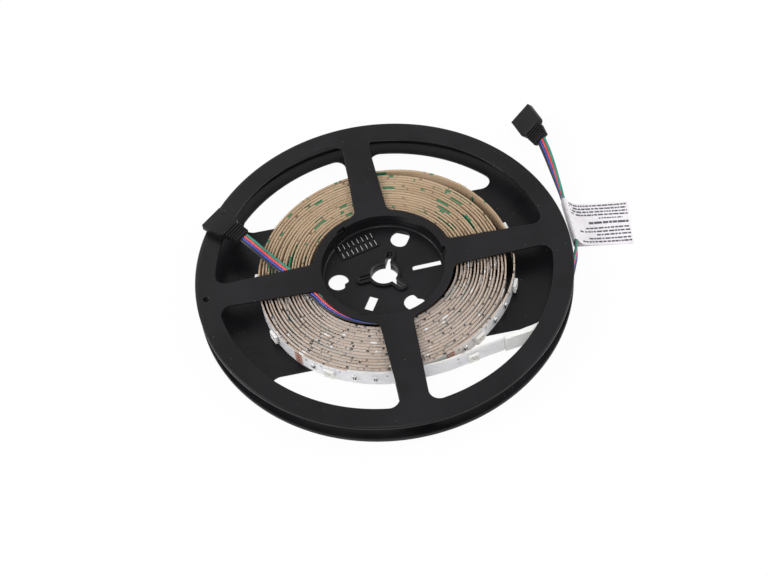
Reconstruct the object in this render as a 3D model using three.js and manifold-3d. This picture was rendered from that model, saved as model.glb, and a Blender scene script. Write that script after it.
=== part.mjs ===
// A reel of LED strip light: two snapped reel halves, the wound strip with its LEDs and resistors,
// and a four-wire lead with a connector at each end. Millimetres, +Z up. The reel's axis is Z and
// its lower flange rests on z = 0.
import * as THREE from 'three';
import { mergeVertices } from 'three/addons/utils/BufferGeometryUtils.js';
import Module from 'manifold-3d';

const wasm = await Module();
wasm.setup();

// Reel
const REEL_RADIUS = 89;
const REEL_HEIGHT = 12.6;
const PLATE = 1.15;
const RIM_HEIGHT = 2.4;
const RIM_WIDTH = 2.6;
const RIM_ROUND = 0.8;
const SEAT_GAP = 0.3;
const RIM_SEGMENTS = 72;
const CUP_SEGMENTS = 48;
const SPOKE_TURN = 4.3;
const SPOKE_COUNT = 4;
const SPOKE_ROOT_WIDTH = 15.6;
const SPOKE_TIP_WIDTH = 12.8;
const RIM_BAND = 9.7;
const HUB_RING = 3.9;
const WINDOW_CORNER = 5;
const WINDOW_ROOT_CORNER = 4;
const BAND_SHARE = 0.483;
const RIM_HOLE = { radius: 1.5, inset: 4.8, angle: 184.6 };

// Hub
const CUP_RADIUS = 29.2;
const CUP_WALL = 0.9;
const WEB_TOP = 5;
const WEB = 1.3;
const BORE_RADIUS = 6.5;
const BORE_RIM = 1.5;
const BOSS_HEIGHT = 1.3;
const KEY_WIDTH = 2.6;
const KEY_REACH = 12.6;
const KEY_ANGLES = [70, 190, 310];
const WEB_HOLE_RADIUS = 4.8;
const WEB_HOLE_CIRCLE = 22;
const WEB_HOLE_ANGLES = [63, 183, 303];
const WEB_SLOT = { from: 13.6, to: 27.4, width: 3, angle: 5.5 };
const WEB_WINDOW = { from: 13.8, to: 21.8, width: 4.3, angle: 243.6 };
const SNAP_ANGLES = [7, 127, 247];
const SNAP_WIDTH = 4;
const SNAP_HEIGHT = 2.2;
const ARM_ANGLES = [32, 152, 272];
const ARM_WIDTH = 6;
const FLOOR_RING = 2;
const COMB = { x: -11.6, y: 18.6, turn: 19, length: 18.6, depth: 9.6, ribs: 8, rib: 0.75, height: 0.5 };

// Strip
const STRIP_HEIGHT = 8.95;
const STRIP_THICKNESS = 1.1;
const STRIP_LIFT = 0.2;
const TURNS = 15.99;
const TURN_PITCH = 1.65;
const STRIP_START = 285;
const START_CLEARANCE = 2.75;
const FAR_SQUEEZE = 2.7;
const NEAR_SQUEEZE = { angle: 281, spread: 48, inner: 1.5, outer: 1.9 };
const LOOSE_TURN = 3.2;
const LOOSE_ANGLE = 31;
const LOOSE_SPREAD = 60;
const STEPS_PER_TURN = 36;
const LED_PITCH = 33.3;
const LED_SIZE = 5;
const LED_DEPTH = 1.5;
const LENS_RADIUS = 2;
const LENS_RECESS = 0.3;
const LENS_SEGMENTS = 12;
const LED_ANGLE = 207.6;
const LEDS_BEFORE = 8;
const LEDS_AFTER = 3;
const CUT_TO_RESISTORS = [8.3, 28.3, 37.8];
const CUT_PITCH = 3 * LED_PITCH;
const CUT_FROM_LED = LED_PITCH / 2;
const RESISTOR = { width: 1.6, height: 3.1, depth: 0.6 };
const SOLDER_GAP = 0.12;

// Leads and connectors
const LEAD_WIDTH = 5.2;
const LEAD_THICKNESS = 1;
const LEAD_LIFT = 0.08;
const SLEEVE_WALL = 0.5;
const SLEEVE_PLAY = 0.1;
const SLEEVE_LENGTH = 11;
const OUTER_SLEEVE = { wall: 1.05, play: 0.4, lift: 0.45 };
const SHELL = { width: 12.8, length: 13, height: 4.4, shoulder: 2, edge: 0.7 };
const RELIEF = { length: 7, width: 8, height: 3.2, ribs: 4, rib: 0.9, stand: 0.7 };
const SOCKET_PITCH = 2.54;
const SOCKET_SIZE = 1.7;
const SOCKET_DEPTH = 8;
const CONTACT_SIZE = 1.1;
const CONTACT_LENGTH = 6.5;
const LABEL = { length: 29.2, width: 25.6, paper: 0.34, turn: 2.3, skew: -7.1, taper: 7.6 };

// Levels worked out from the sizes above
const UPPER_PLATE = REEL_HEIGHT - PLATE;
const WINDOW_OUTER = REEL_RADIUS - RIM_BAND;
const BAND_HALF_WIDTH = BAND_SHARE * REEL_RADIUS;
const WINDOW_INNER = CUP_RADIUS + HUB_RING;
const LOWER_CUP = CUP_RADIUS + CUP_WALL + SEAT_GAP;
const LOWER_CUP_TOP = UPPER_PLATE - SEAT_GAP;
const STRIP_BASE = PLATE + STRIP_LIFT;
const STRIP_MID = STRIP_BASE + STRIP_HEIGHT / 2;
const START_RADIUS = LOWER_CUP + CUP_WALL + START_CLEARANCE + STRIP_THICKNESS / 2;

const radians = (degrees) => degrees * Math.PI / 180;

function polar(radius, degrees) {
  return new THREE.Vector2(radius * Math.cos(radians(degrees)), radius * Math.sin(radians(degrees)));
}

function heading(vector) {
  return THREE.MathUtils.radToDeg(Math.atan2(vector.y, vector.x));
}

// Points of an arc, counter-clockwise from one heading to the next, or clockwise when told
function arc(centre, radius, from, to, step, clockwise = false) {
  let sweep = ((to - from) % 360 + 360) % 360;
  if (clockwise) sweep -= 360;
  const count = Math.max(1, Math.ceil(Math.abs(sweep) / step));
  const points = [];
  for (let i = 0; i <= count; i += 1) {
    points.push(polar(radius, from + sweep * i / count).add(centre));
  }
  return points;
}

const ORIGIN = new THREE.Vector2(0, 0);

// Places read off a reel 89 mm in radius, moved out or in with this one's rim
function reelPlaces(places) {
  return places.map(([x, y, ...rest]) => [x * REEL_RADIUS / 89, y * REEL_RADIUS / 89, ...rest]);
}

function circle(radius, count, centre = ORIGIN) {
  return Array.from({ length: count }, (_, i) => polar(radius, 360 * i / count).add(centre));
}

function turned(points, degrees) {
  return points.map((point) => point.clone().rotateAround(ORIGIN, radians(degrees)));
}

// A rectangle along a heading, from one distance to another
function bar(from, to, width, degrees) {
  const corners = [
    new THREE.Vector2(from, -width / 2),
    new THREE.Vector2(to, -width / 2),
    new THREE.Vector2(to, width / 2),
    new THREE.Vector2(from, width / 2),
  ];
  return turned(corners, degrees);
}

function prism(outline, bottom, top, holes = []) {
  const shape = new THREE.Shape(outline);
  shape.holes = holes.map((hole) => new THREE.Path(hole));
  const geometry = new THREE.ExtrudeGeometry(shape, { depth: top - bottom, bevelEnabled: false });
  return geometry.translate(0, 0, bottom);
}

// A turned ring: the profile runs counter-clockwise in (radius, height)
function turnedRing(profile, segments) {
  const closed = [...profile, profile[0]].map(([radius, height]) => new THREE.Vector2(radius, height));
  return new THREE.LatheGeometry(closed, segments).rotateX(Math.PI / 2);
}

function solid(geometry) {
  const bare = geometry.clone();
  bare.deleteAttribute('normal');
  bare.deleteAttribute('uv');
  const merged = mergeVertices(bare, 1e-4);
  return new wasm.Manifold(new wasm.Mesh({
    numProp: 3,
    vertProperties: Float32Array.from(merged.attributes.position.array),
    triVerts: Uint32Array.from(merged.index.array),
  }));
}

function joined(solids) {
  return solids.reduce((whole, next) => whole.add(next));
}

function cut(body, cutters) {
  return cutters.reduce((rest, cutter) => rest.subtract(cutter), body);
}

function surface(body) {
  const { vertProperties, triVerts } = body.getMesh();
  const geometry = new THREE.BufferGeometry();
  geometry.setAttribute('position', new THREE.BufferAttribute(vertProperties, 3));
  geometry.setIndex(new THREE.BufferAttribute(triVerts, 1));
  return geometry;
}

function finish(color, roughness, metalness = 0) {
  return new THREE.MeshStandardMaterial({ color, roughness, metalness });
}

const finishes = {
  reel: finish(0x1b1a1d, 0.42),
  strip: finish(0xe6ded2, 0.6),
  led: finish(0xf4f3ef, 0.4),
  resistor: finish(0x1d1d1f, 0.5),
  sleeve: finish(0xe8e8e4, 0.35),
  lead: finish(0x2a7f73, 0.45),
  connector: finish(0x19191b, 0.4),
  contact: finish(0xc9b37a, 0.3, 1),
  paper: finish(0xf2eef2, 0.8),
};

const reel = new THREE.Group();
reel.name = 'led_strip_light_reel';

function add(name, geometry, material) {
  const mesh = new THREE.Mesh(geometry, material);
  mesh.name = name;
  reel.add(mesh);
  return mesh;
}

// Reel halves

// The side of a spoke that bounds a window, from the hub out, with a round at each end
function spokeSide() {
  const root = new THREE.Vector2(WINDOW_INNER, SPOKE_ROOT_WIDTH / 2);
  const tip = new THREE.Vector2(WINDOW_OUTER, SPOKE_TIP_WIDTH / 2);
  const along = tip.clone().sub(root).normalize();
  const away = new THREE.Vector2(-along.y, along.x);
  const roundAt = (corner, distance) => {
    const start = root.clone().addScaledVector(away, corner);
    const half = start.dot(along);
    const travel = -half + Math.sqrt(half * half - start.lengthSq() + distance * distance);
    return start.addScaledVector(along, travel);
  };
  const inner = roundAt(WINDOW_ROOT_CORNER, WINDOW_INNER + WINDOW_ROOT_CORNER);
  const outer = roundAt(WINDOW_CORNER, WINDOW_OUTER - WINDOW_CORNER);
  const toSide = heading(away) + 180;
  return [
    ...arc(inner, WINDOW_ROOT_CORNER, heading(inner) + 180, toSide, 18),
    ...arc(outer, WINDOW_CORNER, toSide, heading(outer), 16),
  ];
}

function upperWindow(index) {
  const turn = SPOKE_TURN + 360 / SPOKE_COUNT * index;
  const side = spokeSide();
  const first = turned(side, turn);
  const mirrored = side.map((point) => new THREE.Vector2(point.x, -point.y)).reverse();
  const last = turned(mirrored, turn + 360 / SPOKE_COUNT);
  const outer = arc(ORIGIN, WINDOW_OUTER, heading(first.at(-1)), heading(last[0]), 3.6).slice(1, -1);
  const inner = arc(ORIGIN, WINDOW_INNER, heading(last.at(-1)), heading(first[0]), 7.5, true).slice(1, -1);
  return [...first, ...outer, ...last, ...inner];
}

// A window of the lower flange lies between its spoke, its rim and the solid band across the reel
function lowerWindow(mirrorX, mirrorY) {
  const side = SPOKE_TIP_WIDTH / 2 + WINDOW_CORNER;
  const base = BAND_HALF_WIDTH + WINDOW_CORNER;
  const reach = WINDOW_OUTER - WINDOW_CORNER;
  const inner = new THREE.Vector2(side, base);
  const far = new THREE.Vector2(Math.sqrt(reach * reach - base * base), base);
  const top = new THREE.Vector2(side, Math.sqrt(reach * reach - side * side));
  const outline = [
    ...arc(inner, WINDOW_CORNER, 180, 270, 18),
    ...arc(far, WINDOW_CORNER, 270, heading(far), 18),
    ...arc(ORIGIN, WINDOW_OUTER, heading(far), heading(top), 3.6).slice(1, -1),
    ...arc(top, WINDOW_CORNER, heading(top), 180, 18),
  ];
  const placed = outline.map((point) => new THREE.Vector2(point.x * mirrorX, point.y * mirrorY));
  return turned(mirrorX * mirrorY < 0 ? placed.reverse() : placed, SPOKE_TURN);
}

// The rim is a round-edged bead; outside is the face of the flange away from the strip
function rimBead(inside, outside) {
  const inner = REEL_RADIUS - RIM_WIDTH;
  const soft = RIM_ROUND * (1 - Math.SQRT1_2);
  const step = Math.sign(outside - inside);
  const profile = [
    [inner, inside],
    [REEL_RADIUS - RIM_ROUND / 2, inside],
    [REEL_RADIUS, inside + step * RIM_ROUND / 2],
    [REEL_RADIUS, outside - step * RIM_ROUND],
    [REEL_RADIUS - soft, outside - step * soft],
    [REEL_RADIUS - RIM_ROUND, outside],
    [inner, outside],
  ];
  return solid(turnedRing(step > 0 ? profile : profile.reverse(), RIM_SEGMENTS));
}

function tube(inner, outer, bottom, top) {
  return solid(turnedRing([[inner, bottom], [outer, bottom], [outer, top], [inner, top]], CUP_SEGMENTS));
}

function keyedHole(extra, bottom, top) {
  const round = solid(prism(circle(BORE_RADIUS + extra, 36), bottom, top));
  const width = KEY_WIDTH + 2 * extra;
  const keys = KEY_ANGLES.map((angle) => {
    const tip = KEY_REACH + extra - width / 2;
    const nose = arc(new THREE.Vector2(tip, 0), width / 2, 270, 90, 30);
    const outline = [new THREE.Vector2(0, -width / 2), ...nose, new THREE.Vector2(0, width / 2)];
    return solid(prism(turned(outline, angle), bottom, top));
  });
  return joined([round, ...keys]);
}

function comb() {
  const top = WEB_TOP + COMB.height;
  const base = WEB_TOP - COMB.height;
  const place = (geometry) => solid(geometry.rotateZ(radians(COMB.turn)).translate(COMB.x, COMB.y, 0));
  const half = COMB.length / 2;
  const frameOuter = bar(-half, half, COMB.depth, 0);
  const frameInner = bar(COMB.rib - half, half - COMB.rib, COMB.depth - 2 * COMB.rib, 0);
  const parts = [place(prism(frameOuter, base, top, [frameInner]))];
  const pitch = (COMB.length - 2 * COMB.rib) / COMB.ribs;
  for (const row of [-1, 1]) {
    for (let i = 0; i < COMB.ribs; i += 1) {
      const rib = new THREE.BoxGeometry(COMB.rib, COMB.depth * 0.36, top - base);
      const x = pitch * (i + 0.5 - COMB.ribs / 2);
      parts.push(place(rib.translate(x, row * COMB.depth / 4, (top + base) / 2)));
    }
  }
  return joined(parts);
}

function snapBar(from, to, width, bottom, top, angle) {
  return solid(prism(bar(from, to, width, angle), bottom, top));
}

function upperHalf() {
  const above = REEL_HEIGHT + 1;
  const windows = Array.from({ length: SPOKE_COUNT }, (_, i) => upperWindow(i));
  const flange = prism(circle(REEL_RADIUS - RIM_WIDTH / 2, RIM_SEGMENTS), UPPER_PLATE, REEL_HEIGHT,
    [circle(CUP_RADIUS, CUP_SEGMENTS), ...windows]);
  const webBase = WEB_TOP - WEB;
  const body = joined([
    solid(flange),
    rimBead(REEL_HEIGHT - RIM_HEIGHT, REEL_HEIGHT),
    tube(CUP_RADIUS, CUP_RADIUS + CUP_WALL, webBase, REEL_HEIGHT),
    solid(prism(circle(CUP_RADIUS + CUP_WALL / 2, CUP_SEGMENTS), webBase, WEB_TOP)),
    keyedHole(BORE_RIM, webBase, WEB_TOP + BOSS_HEIGHT),
    comb(),
  ]);
  const holes = WEB_HOLE_ANGLES.map((angle) => {
    const outline = circle(WEB_HOLE_RADIUS, 24, polar(WEB_HOLE_CIRCLE, angle));
    return solid(prism(outline, webBase - 1, WEB_TOP + 1));
  });
  const slot = bar(WEB_SLOT.from, WEB_SLOT.to, WEB_SLOT.width, WEB_SLOT.angle);
  const opening = bar(WEB_WINDOW.from, WEB_WINDOW.to, WEB_WINDOW.width, WEB_WINDOW.angle);
  const notchBase = LOWER_CUP_TOP - SNAP_HEIGHT - 2 * SEAT_GAP;
  const notches = SNAP_ANGLES.map((angle) => snapBar(CUP_RADIUS - 1, CUP_RADIUS + CUP_WALL + SEAT_GAP / 2,
    SNAP_WIDTH + 2 * SEAT_GAP, notchBase, above, angle));
  const peephole = circle(RIM_HOLE.radius, 12, polar(REEL_RADIUS - RIM_HOLE.inset, RIM_HOLE.angle));
  return cut(body, [
    keyedHole(0, webBase - 1, above),
    ...holes,
    solid(prism(slot, webBase - 1, WEB_TOP + 1)),
    solid(prism(opening, webBase - 1, WEB_TOP + 1)),
    ...notches,
    solid(prism(peephole, UPPER_PLATE - 1, above)),
  ]);
}

function lowerHalf() {
  const windows = [[1, 1], [-1, 1], [-1, -1], [1, -1]].map(([x, y]) => lowerWindow(x, y));
  const opening = LOWER_CUP - FLOOR_RING;
  const disc = circle(REEL_RADIUS - RIM_WIDTH / 2, RIM_SEGMENTS);
  const flange = prism(disc, 0, PLATE, [circle(opening, CUP_SEGMENTS), ...windows]);
  const bossTop = WEB_TOP - WEB - SEAT_GAP;
  const arms = ARM_ANGLES.map((angle) => snapBar(0, opening + FLOOR_RING / 2, ARM_WIDTH, 0, PLATE, angle));
  const snaps = SNAP_ANGLES.map((angle) => snapBar(CUP_RADIUS + SEAT_GAP, LOWER_CUP + CUP_WALL / 2,
    SNAP_WIDTH, LOWER_CUP_TOP - SNAP_HEIGHT, LOWER_CUP_TOP, angle));
  const body = joined([
    solid(flange),
    rimBead(RIM_HEIGHT, 0),
    tube(LOWER_CUP, LOWER_CUP + CUP_WALL, 0, LOWER_CUP_TOP),
    keyedHole(BORE_RIM, 0, bossTop),
    ...arms,
    ...snaps,
  ]);
  return cut(body, [keyedHole(0, -1, bossTop + 1)]);
}

add('reel_upper_half', surface(upperHalf()), finishes.reel);
add('reel_lower_half', surface(lowerHalf()), finishes.reel);

// A closed solid through stations, each a centre with an across and an up half-size.
// The section is convex and given in multiples of the two half-sizes.
function sweep(stations, section) {
  const positions = [];
  const index = [];
  const sides = section.length;
  for (const { at, across, up } of stations) {
    for (const [a, b] of section) {
      const corner = at.clone().addScaledVector(across, a).addScaledVector(up, b);
      positions.push(corner.x, corner.y, corner.z);
    }
  }
  for (let i = 0; i < stations.length - 1; i += 1) {
    for (let j = 0; j < sides; j += 1) {
      const near = i * sides + j;
      const next = i * sides + (j + 1) % sides;
      index.push(near, near + sides, next + sides, near, next + sides, next);
    }
  }
  const last = (stations.length - 1) * sides;
  for (let j = 1; j < sides - 1; j += 1) {
    index.push(0, j, j + 1);
    index.push(last, last + j + 1, last + j);
  }
  const geometry = new THREE.BufferGeometry();
  geometry.setAttribute('position', new THREE.Float32BufferAttribute(positions, 3));
  geometry.setIndex(index);
  return geometry;
}

const SQUARE = [[1, -1], [1, 1], [-1, 1], [-1, -1]];
const FLAT_ROUND = [
  [1, -0.4], [1, 0.4], [0.86, 1], [-0.86, 1], [-1, 0.4], [-1, -0.4], [-0.86, -1], [0.86, -1],
];
const UP = new THREE.Vector3(0, 0, 1);

// The wound strip

// Radius of the winding at a number of turns from its inner end: it lies closer on the far side
// and the near side, and its last turn stands loose on one side
function windingRadius(turns) {
  const angle = STRIP_START + 360 * turns;
  const share = turns / TURNS;
  const far = FAR_SQUEEZE * share * (1 + Math.sin(radians(angle))) / 2;
  const aside = (angle - NEAR_SQUEEZE.angle + 180) % 360 - 180;
  const depth = THREE.MathUtils.lerp(NEAR_SQUEEZE.inner, NEAR_SQUEEZE.outer, share);
  const near = depth * Math.exp(-((aside / NEAR_SQUEEZE.spread) ** 4));
  const fromLoose = angle - (STRIP_START + 360 * Math.floor(TURNS - 0.5)) - (360 + LOOSE_ANGLE - STRIP_START);
  const loose = LOOSE_TURN * Math.exp(-((fromLoose / LOOSE_SPREAD) ** 4));
  return START_RADIUS + TURN_PITCH * turns - far - near + loose;
}

// Places read off a reel 89 mm in radius, where the strip leaves the roll 59.056866 mm out:
// each keeps its heading and its share of the way from the roll to the rim
function besideRoll(places) {
  const roll = windingRadius(TURNS);
  return places.map(([x, y]) => {
    const place = new THREE.Vector2(x, y);
    const share = (place.length() - 59.056866) / (89 - 59.056866);
    return place.setLength(THREE.MathUtils.lerp(roll, REEL_RADIUS, share));
  });
}

// The tail leaves the roll at the bottom spoke and runs out towards the rim
const TAIL = besideRoll([[21, -56.6], [29.8, -54.3], [38.6, -51.7], [49.3, -49]]);

function stripPath() {
  const points = [];
  const steps = Math.round(TURNS * STEPS_PER_TURN);
  for (let i = 0; i <= steps; i += 1) {
    const turns = TURNS * i / steps;
    points.push(polar(windingRadius(turns), STRIP_START + 360 * turns));
  }
  const wound = points.length;
  const joint = [...points.slice(-3), ...TAIL];
  const curve = new THREE.SplineCurve(joint);
  const tailSteps = 4 * TAIL.length;
  const from = 2 / (joint.length - 1);
  for (let i = 1; i <= tailSteps; i += 1) {
    points.push(curve.getPoint(from + (1 - from) * i / tailSteps));
  }
  return { points, wound };
}

const { points: path, wound } = stripPath();
const lengths = [0];
for (let i = 1; i < path.length; i += 1) {
  lengths.push(lengths[i - 1] + path[i].distanceTo(path[i - 1]));
}

function tangentAt(i) {
  const before = path[Math.max(0, i - 1)];
  const after = path[Math.min(path.length - 1, i + 1)];
  return after.clone().sub(before).normalize();
}

const stripStations = path.map((point, i) => {
  const along = tangentAt(i);
  return {
    at: new THREE.Vector3(point.x, point.y, STRIP_MID),
    across: new THREE.Vector3(along.y, -along.x, 0).multiplyScalar(STRIP_THICKNESS / 2),
    up: new THREE.Vector3(0, 0, STRIP_HEIGHT / 2),
  };
});
add('led_strip_roll', sweep(stripStations, SQUARE), finishes.strip);

// A place on the strip's outer face, at a length along it: x along, y up, z away from the strip
function onStrip(length, stand) {
  const next = lengths.findIndex((value) => value >= length);
  const share = (length - lengths[next - 1]) / (lengths[next] - lengths[next - 1]);
  const point = path[next - 1].clone().lerp(path[next], share);
  const along = path[next].clone().sub(path[next - 1]).normalize();
  const outward = new THREE.Vector3(along.y, -along.x, 0);
  const at = new THREE.Vector3(point.x, point.y, STRIP_MID);
  at.addScaledVector(outward, STRIP_THICKNESS / 2 + stand);
  const matrix = new THREE.Matrix4().makeBasis(new THREE.Vector3(along.x, along.y, 0), UP, outward);
  return matrix.setPosition(at);
}

function lengthAtAngle(degrees) {
  const turnsBack = (STRIP_START + 360 * TURNS - degrees) / 360;
  const index = wound - 1 - (turnsBack - Math.floor(turnsBack)) * STEPS_PER_TURN;
  const low = Math.floor(index);
  return lengths[low] + (index - low) * (lengths[low + 1] - lengths[low]);
}

function ledPackage() {
  const block = new THREE.BoxGeometry(LED_SIZE, LED_SIZE, LED_DEPTH).translate(0, 0, LED_DEPTH / 2);
  const lens = prism(circle(LENS_RADIUS, LENS_SEGMENTS), LED_DEPTH - LENS_RECESS, LED_DEPTH + 1);
  return surface(solid(block).subtract(solid(lens)));
}

const ledZero = lengthAtAngle(LED_ANGLE);
const cutZero = ledZero + CUT_FROM_LED;
for (let i = -LEDS_BEFORE; i <= LEDS_AFTER; i += 1) {
  const mesh = add(`led_${i + LEDS_BEFORE + 1}`, ledPackage(), finishes.led);
  mesh.applyMatrix4(onStrip(ledZero + i * LED_PITCH, SOLDER_GAP));
}

const exposedFrom = ledZero - (LEDS_BEFORE + 0.5) * LED_PITCH;
const exposedTo = lengths.at(-1) - SLEEVE_LENGTH / 2 - RESISTOR.width;
let resistorNumber = 0;
for (let segment = -3; segment <= 1; segment += 1) {
  for (const offset of CUT_TO_RESISTORS) {
    const length = cutZero + segment * CUT_PITCH + offset;
    if (length > exposedFrom && length < exposedTo) {
      resistorNumber += 1;
      const chip = new THREE.BoxGeometry(RESISTOR.width, RESISTOR.height, RESISTOR.depth);
      chip.translate(0, 0, RESISTOR.depth / 2);
      add(`resistor_${resistorNumber}`, chip, finishes.resistor).applyMatrix4(onStrip(length, SOLDER_GAP));
    }
  }
}

// Leads

// A flat lead through chosen points; green points from its black wire to its green wire
function leadStations(route) {
  const centres = reelPlaces(route.map(({ at }) => at)).map((at) => new THREE.Vector3(...at));
  const curve = new THREE.CatmullRomCurve3(centres, false, 'centripetal');
  const steps = 3 * (route.length - 1);
  const stations = [];
  for (let i = 0; i <= steps; i += 1) {
    const share = i / steps;
    const along = curve.getTangent(share);
    const place = share * (route.length - 1);
    const low = Math.min(Math.floor(place), route.length - 2);
    const [before, after] = [route[low], route[low + 1]];
    const green = new THREE.Vector3(...before.green).lerp(new THREE.Vector3(...after.green), place - low);
    const widths = [before, after].map(({ width = LEAD_WIDTH }) => width);
    const width = THREE.MathUtils.lerp(...widths, place - low);
    const across = green.addScaledVector(along, -green.dot(along)).normalize();
    const up = across.clone().cross(along).multiplyScalar(LEAD_THICKNESS / 2);
    stations.push({ at: curve.getPoint(share), across: across.multiplyScalar(width / 2), up });
  }
  return stations;
}

const ABOVE_ROLL = STRIP_BASE + STRIP_HEIGHT + LEAD_LIFT + LEAD_THICKNESS / 2;
const ON_RIM = REEL_HEIGHT + SEAT_GAP + SHELL.height / 2;
const innerRoute = [
  { at: [-3.4, -32.1, ABOVE_ROLL], green: [0.1, 1, 0], width: 1.2 },
  { at: [-10, -30.7, ABOVE_ROLL], green: [0.3, 1, 0], width: 1.2 },
  { at: [-15.8, -28.6, ABOVE_ROLL], green: [0.5, 0.9, 0], width: 2 },
  { at: [-21.3, -25.4, ABOVE_ROLL], green: [0.65, 0.75, 0], width: 3 },
  { at: [-25.9, -21.3, ABOVE_ROLL], green: [0.75, 0.65, 0], width: 3.6 },
  { at: [-29.9, -16.6, ABOVE_ROLL], green: [0.8, 0.6, 0], width: 4.6 },
  { at: [-33.5, -11, ABOVE_ROLL], green: [0.85, 0.5, 0] },
  { at: [-40, -3.2, ABOVE_ROLL], green: [0.8, 0.6, 0] },
  { at: [-45.4, 4, ABOVE_ROLL], green: [0.75, 0.66, 0] },
  { at: [-50.4, 9.6, ABOVE_ROLL + 0.5], green: [0.72, 0.7, 0] },
  { at: [-55.4, 15, ABOVE_ROLL + 2], green: [0.72, 0.7, 0] },
  { at: [-60.2, 20.4, ON_RIM - 0.7], green: [0.72, 0.7, 0] },
  { at: [-64.2, 25, ON_RIM], green: [0.74, 0.67, 0] },
];
const outerRoute = [
  { at: [75, -39.2, 6.3], green: [0, 0, 1] },
  { at: [79.2, -33, 6.1], green: [0, 0, 1] },
  { at: [82.7, -26.2, 6], green: [0, 0, 1] },
  { at: [85.7, -18.6, 6], green: [-0.1, 0, 1] },
  { at: [88.3, -10.6, 6], green: [-0.3, 0, 1] },
  { at: [90.6, -4, 4.7], green: [-0.2, 0, 1] },
  { at: [92.1, 2.8, 3.6], green: [0, 0, 1] },
  { at: [91.85, 10.5, 3.4], green: [0, 0, 1] },
  { at: [91.55, 18.5, 3.4], green: [0, 0, 1] },
  { at: [91.25, 26.5, 3.4], green: [0, 0, 1] },
  { at: [91, 34.5, 3.4], green: [0.1, 0, 1] },
  { at: [90.6, 43, 4], green: [0.3, 0.1, 1] },
  { at: [90.1, 51.6, 5], green: [0.5, 0.2, 0.85] },
  { at: [89.2, 60.4, 6.3], green: [0.65, 0.25, 0.72] },
  { at: [86.9, 68.5, 6.65], green: [0.7, 0.265, 0.663] },
];
add('inner_lead', sweep(leadStations(innerRoute), FLAT_ROUND), finishes.lead);
add('outer_lead', sweep(leadStations(outerRoute), FLAT_ROUND), finishes.lead);

// Heat-shrink sleeves over the soldered joints, flattened round the strip's ends
function sleeve(points, wall, play, lift) {
  const curve = new THREE.SplineCurve(points);
  const steps = 8;
  const stations = [];
  for (let i = 0; i <= steps; i += 1) {
    const point = curve.getPoint(i / steps);
    const along = curve.getTangent(i / steps);
    stations.push({
      at: new THREE.Vector3(point.x, point.y, STRIP_MID + lift),
      across: new THREE.Vector3(along.y, -along.x, 0).multiplyScalar(STRIP_THICKNESS / 2 + wall),
      up: new THREE.Vector3(0, 0, STRIP_HEIGHT / 2 + play),
    });
  }
  return sweep(stations, FLAT_ROUND);
}

const sleeveRadius = windingRadius(0) - SLEEVE_WALL;
const sleeveTurn = THREE.MathUtils.radToDeg(SLEEVE_LENGTH / sleeveRadius);
const sleeveEnd = STRIP_START - THREE.MathUtils.radToDeg(SEAT_GAP / sleeveRadius);
const innerSleeve = [0, 0.5, 1].map((share) => polar(sleeveRadius, sleeveEnd - sleeveTurn * (1 - share)));
add('inner_joint_sleeve', sleeve(innerSleeve, SLEEVE_WALL, SLEEVE_PLAY, SLEEVE_PLAY), finishes.sleeve);

// The outer sleeve is long and loose: it bridges from the tail to the lead between the rims
const SLEEVE_WAY = besideRoll([[57.6, -47.2], [66.4, -44.5]]);
const tailEnd = path.at(-1);
const [leadX, leadY] = reelPlaces([outerRoute[0].at])[0];
const sleeveStop = new THREE.Vector2(leadX, leadY);
const outerSleeve = [
  tailEnd.clone().addScaledVector(tangentAt(path.length - 1), SEAT_GAP),
  ...SLEEVE_WAY,
];
const lastLeg = sleeveStop.clone().sub(outerSleeve.at(-1));
outerSleeve.push(sleeveStop.clone().sub(lastLeg.setLength(SEAT_GAP)));
const { wall: outerWall, play: outerPlay, lift: outerLift } = OUTER_SLEEVE;
add('outer_joint_sleeve', sleeve(outerSleeve, outerWall, outerPlay, outerLift), finishes.sleeve);

// Connectors: x across the four wires, y towards the mating face, z up, the rear of the relief at y = 0
function shellSolid() {
  const { width, length, height, shoulder, edge } = SHELL;
  const from = RELIEF.length + SEAT_GAP;
  const half = width / 2 - edge;
  const outline = [
    new THREE.Vector2(-half + shoulder, from + edge),
    new THREE.Vector2(half - shoulder, from + edge),
    new THREE.Vector2(half, from + shoulder),
    new THREE.Vector2(half, from + length - edge),
    new THREE.Vector2(-half, from + length - edge),
    new THREE.Vector2(-half, from + shoulder),
  ];
  const geometry = new THREE.ExtrudeGeometry(new THREE.Shape(outline), {
    depth: height - 2 * edge,
    bevelEnabled: true,
    bevelThickness: edge,
    bevelSize: edge,
    bevelSegments: 2,
  });
  geometry.translate(0, 0, edge);
  const front = from + length;
  const sockets = socketPlaces().map((x) => {
    const socket = new THREE.BoxGeometry(SOCKET_SIZE, SOCKET_DEPTH + 1, SOCKET_SIZE);
    return solid(socket.translate(x, front - (SOCKET_DEPTH - 1) / 2, height / 2));
  });
  return surface(cut(solid(geometry), sockets));
}

function socketPlaces() {
  return [-1.5, -0.5, 0.5, 1.5].map((place) => place * SOCKET_PITCH);
}

function reliefSolid() {
  const pitch = RELIEF.length / (RELIEF.ribs + 0.5);
  const middle = SHELL.height / 2;
  const core = new THREE.BoxGeometry(RELIEF.width, RELIEF.length, RELIEF.height);
  const parts = [solid(core.translate(0, RELIEF.length / 2, middle))];
  for (let i = 0; i < RELIEF.ribs; i += 1) {
    const width = RELIEF.width + 2 * RELIEF.stand;
    const height = RELIEF.height + 2 * RELIEF.stand * 0.8;
    const rib = new THREE.BoxGeometry(width, RELIEF.rib, height);
    parts.push(solid(rib.translate(0, pitch * (i + 0.5), middle)));
  }
  return surface(joined(parts));
}

function contactSolid(x) {
  const front = RELIEF.length + SEAT_GAP + SHELL.length;
  const contact = new THREE.BoxGeometry(CONTACT_SIZE, CONTACT_LENGTH, CONTACT_SIZE);
  return contact.translate(x, front - SOCKET_DEPTH + SEAT_GAP + CONTACT_LENGTH / 2, SHELL.height / 2);
}

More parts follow.
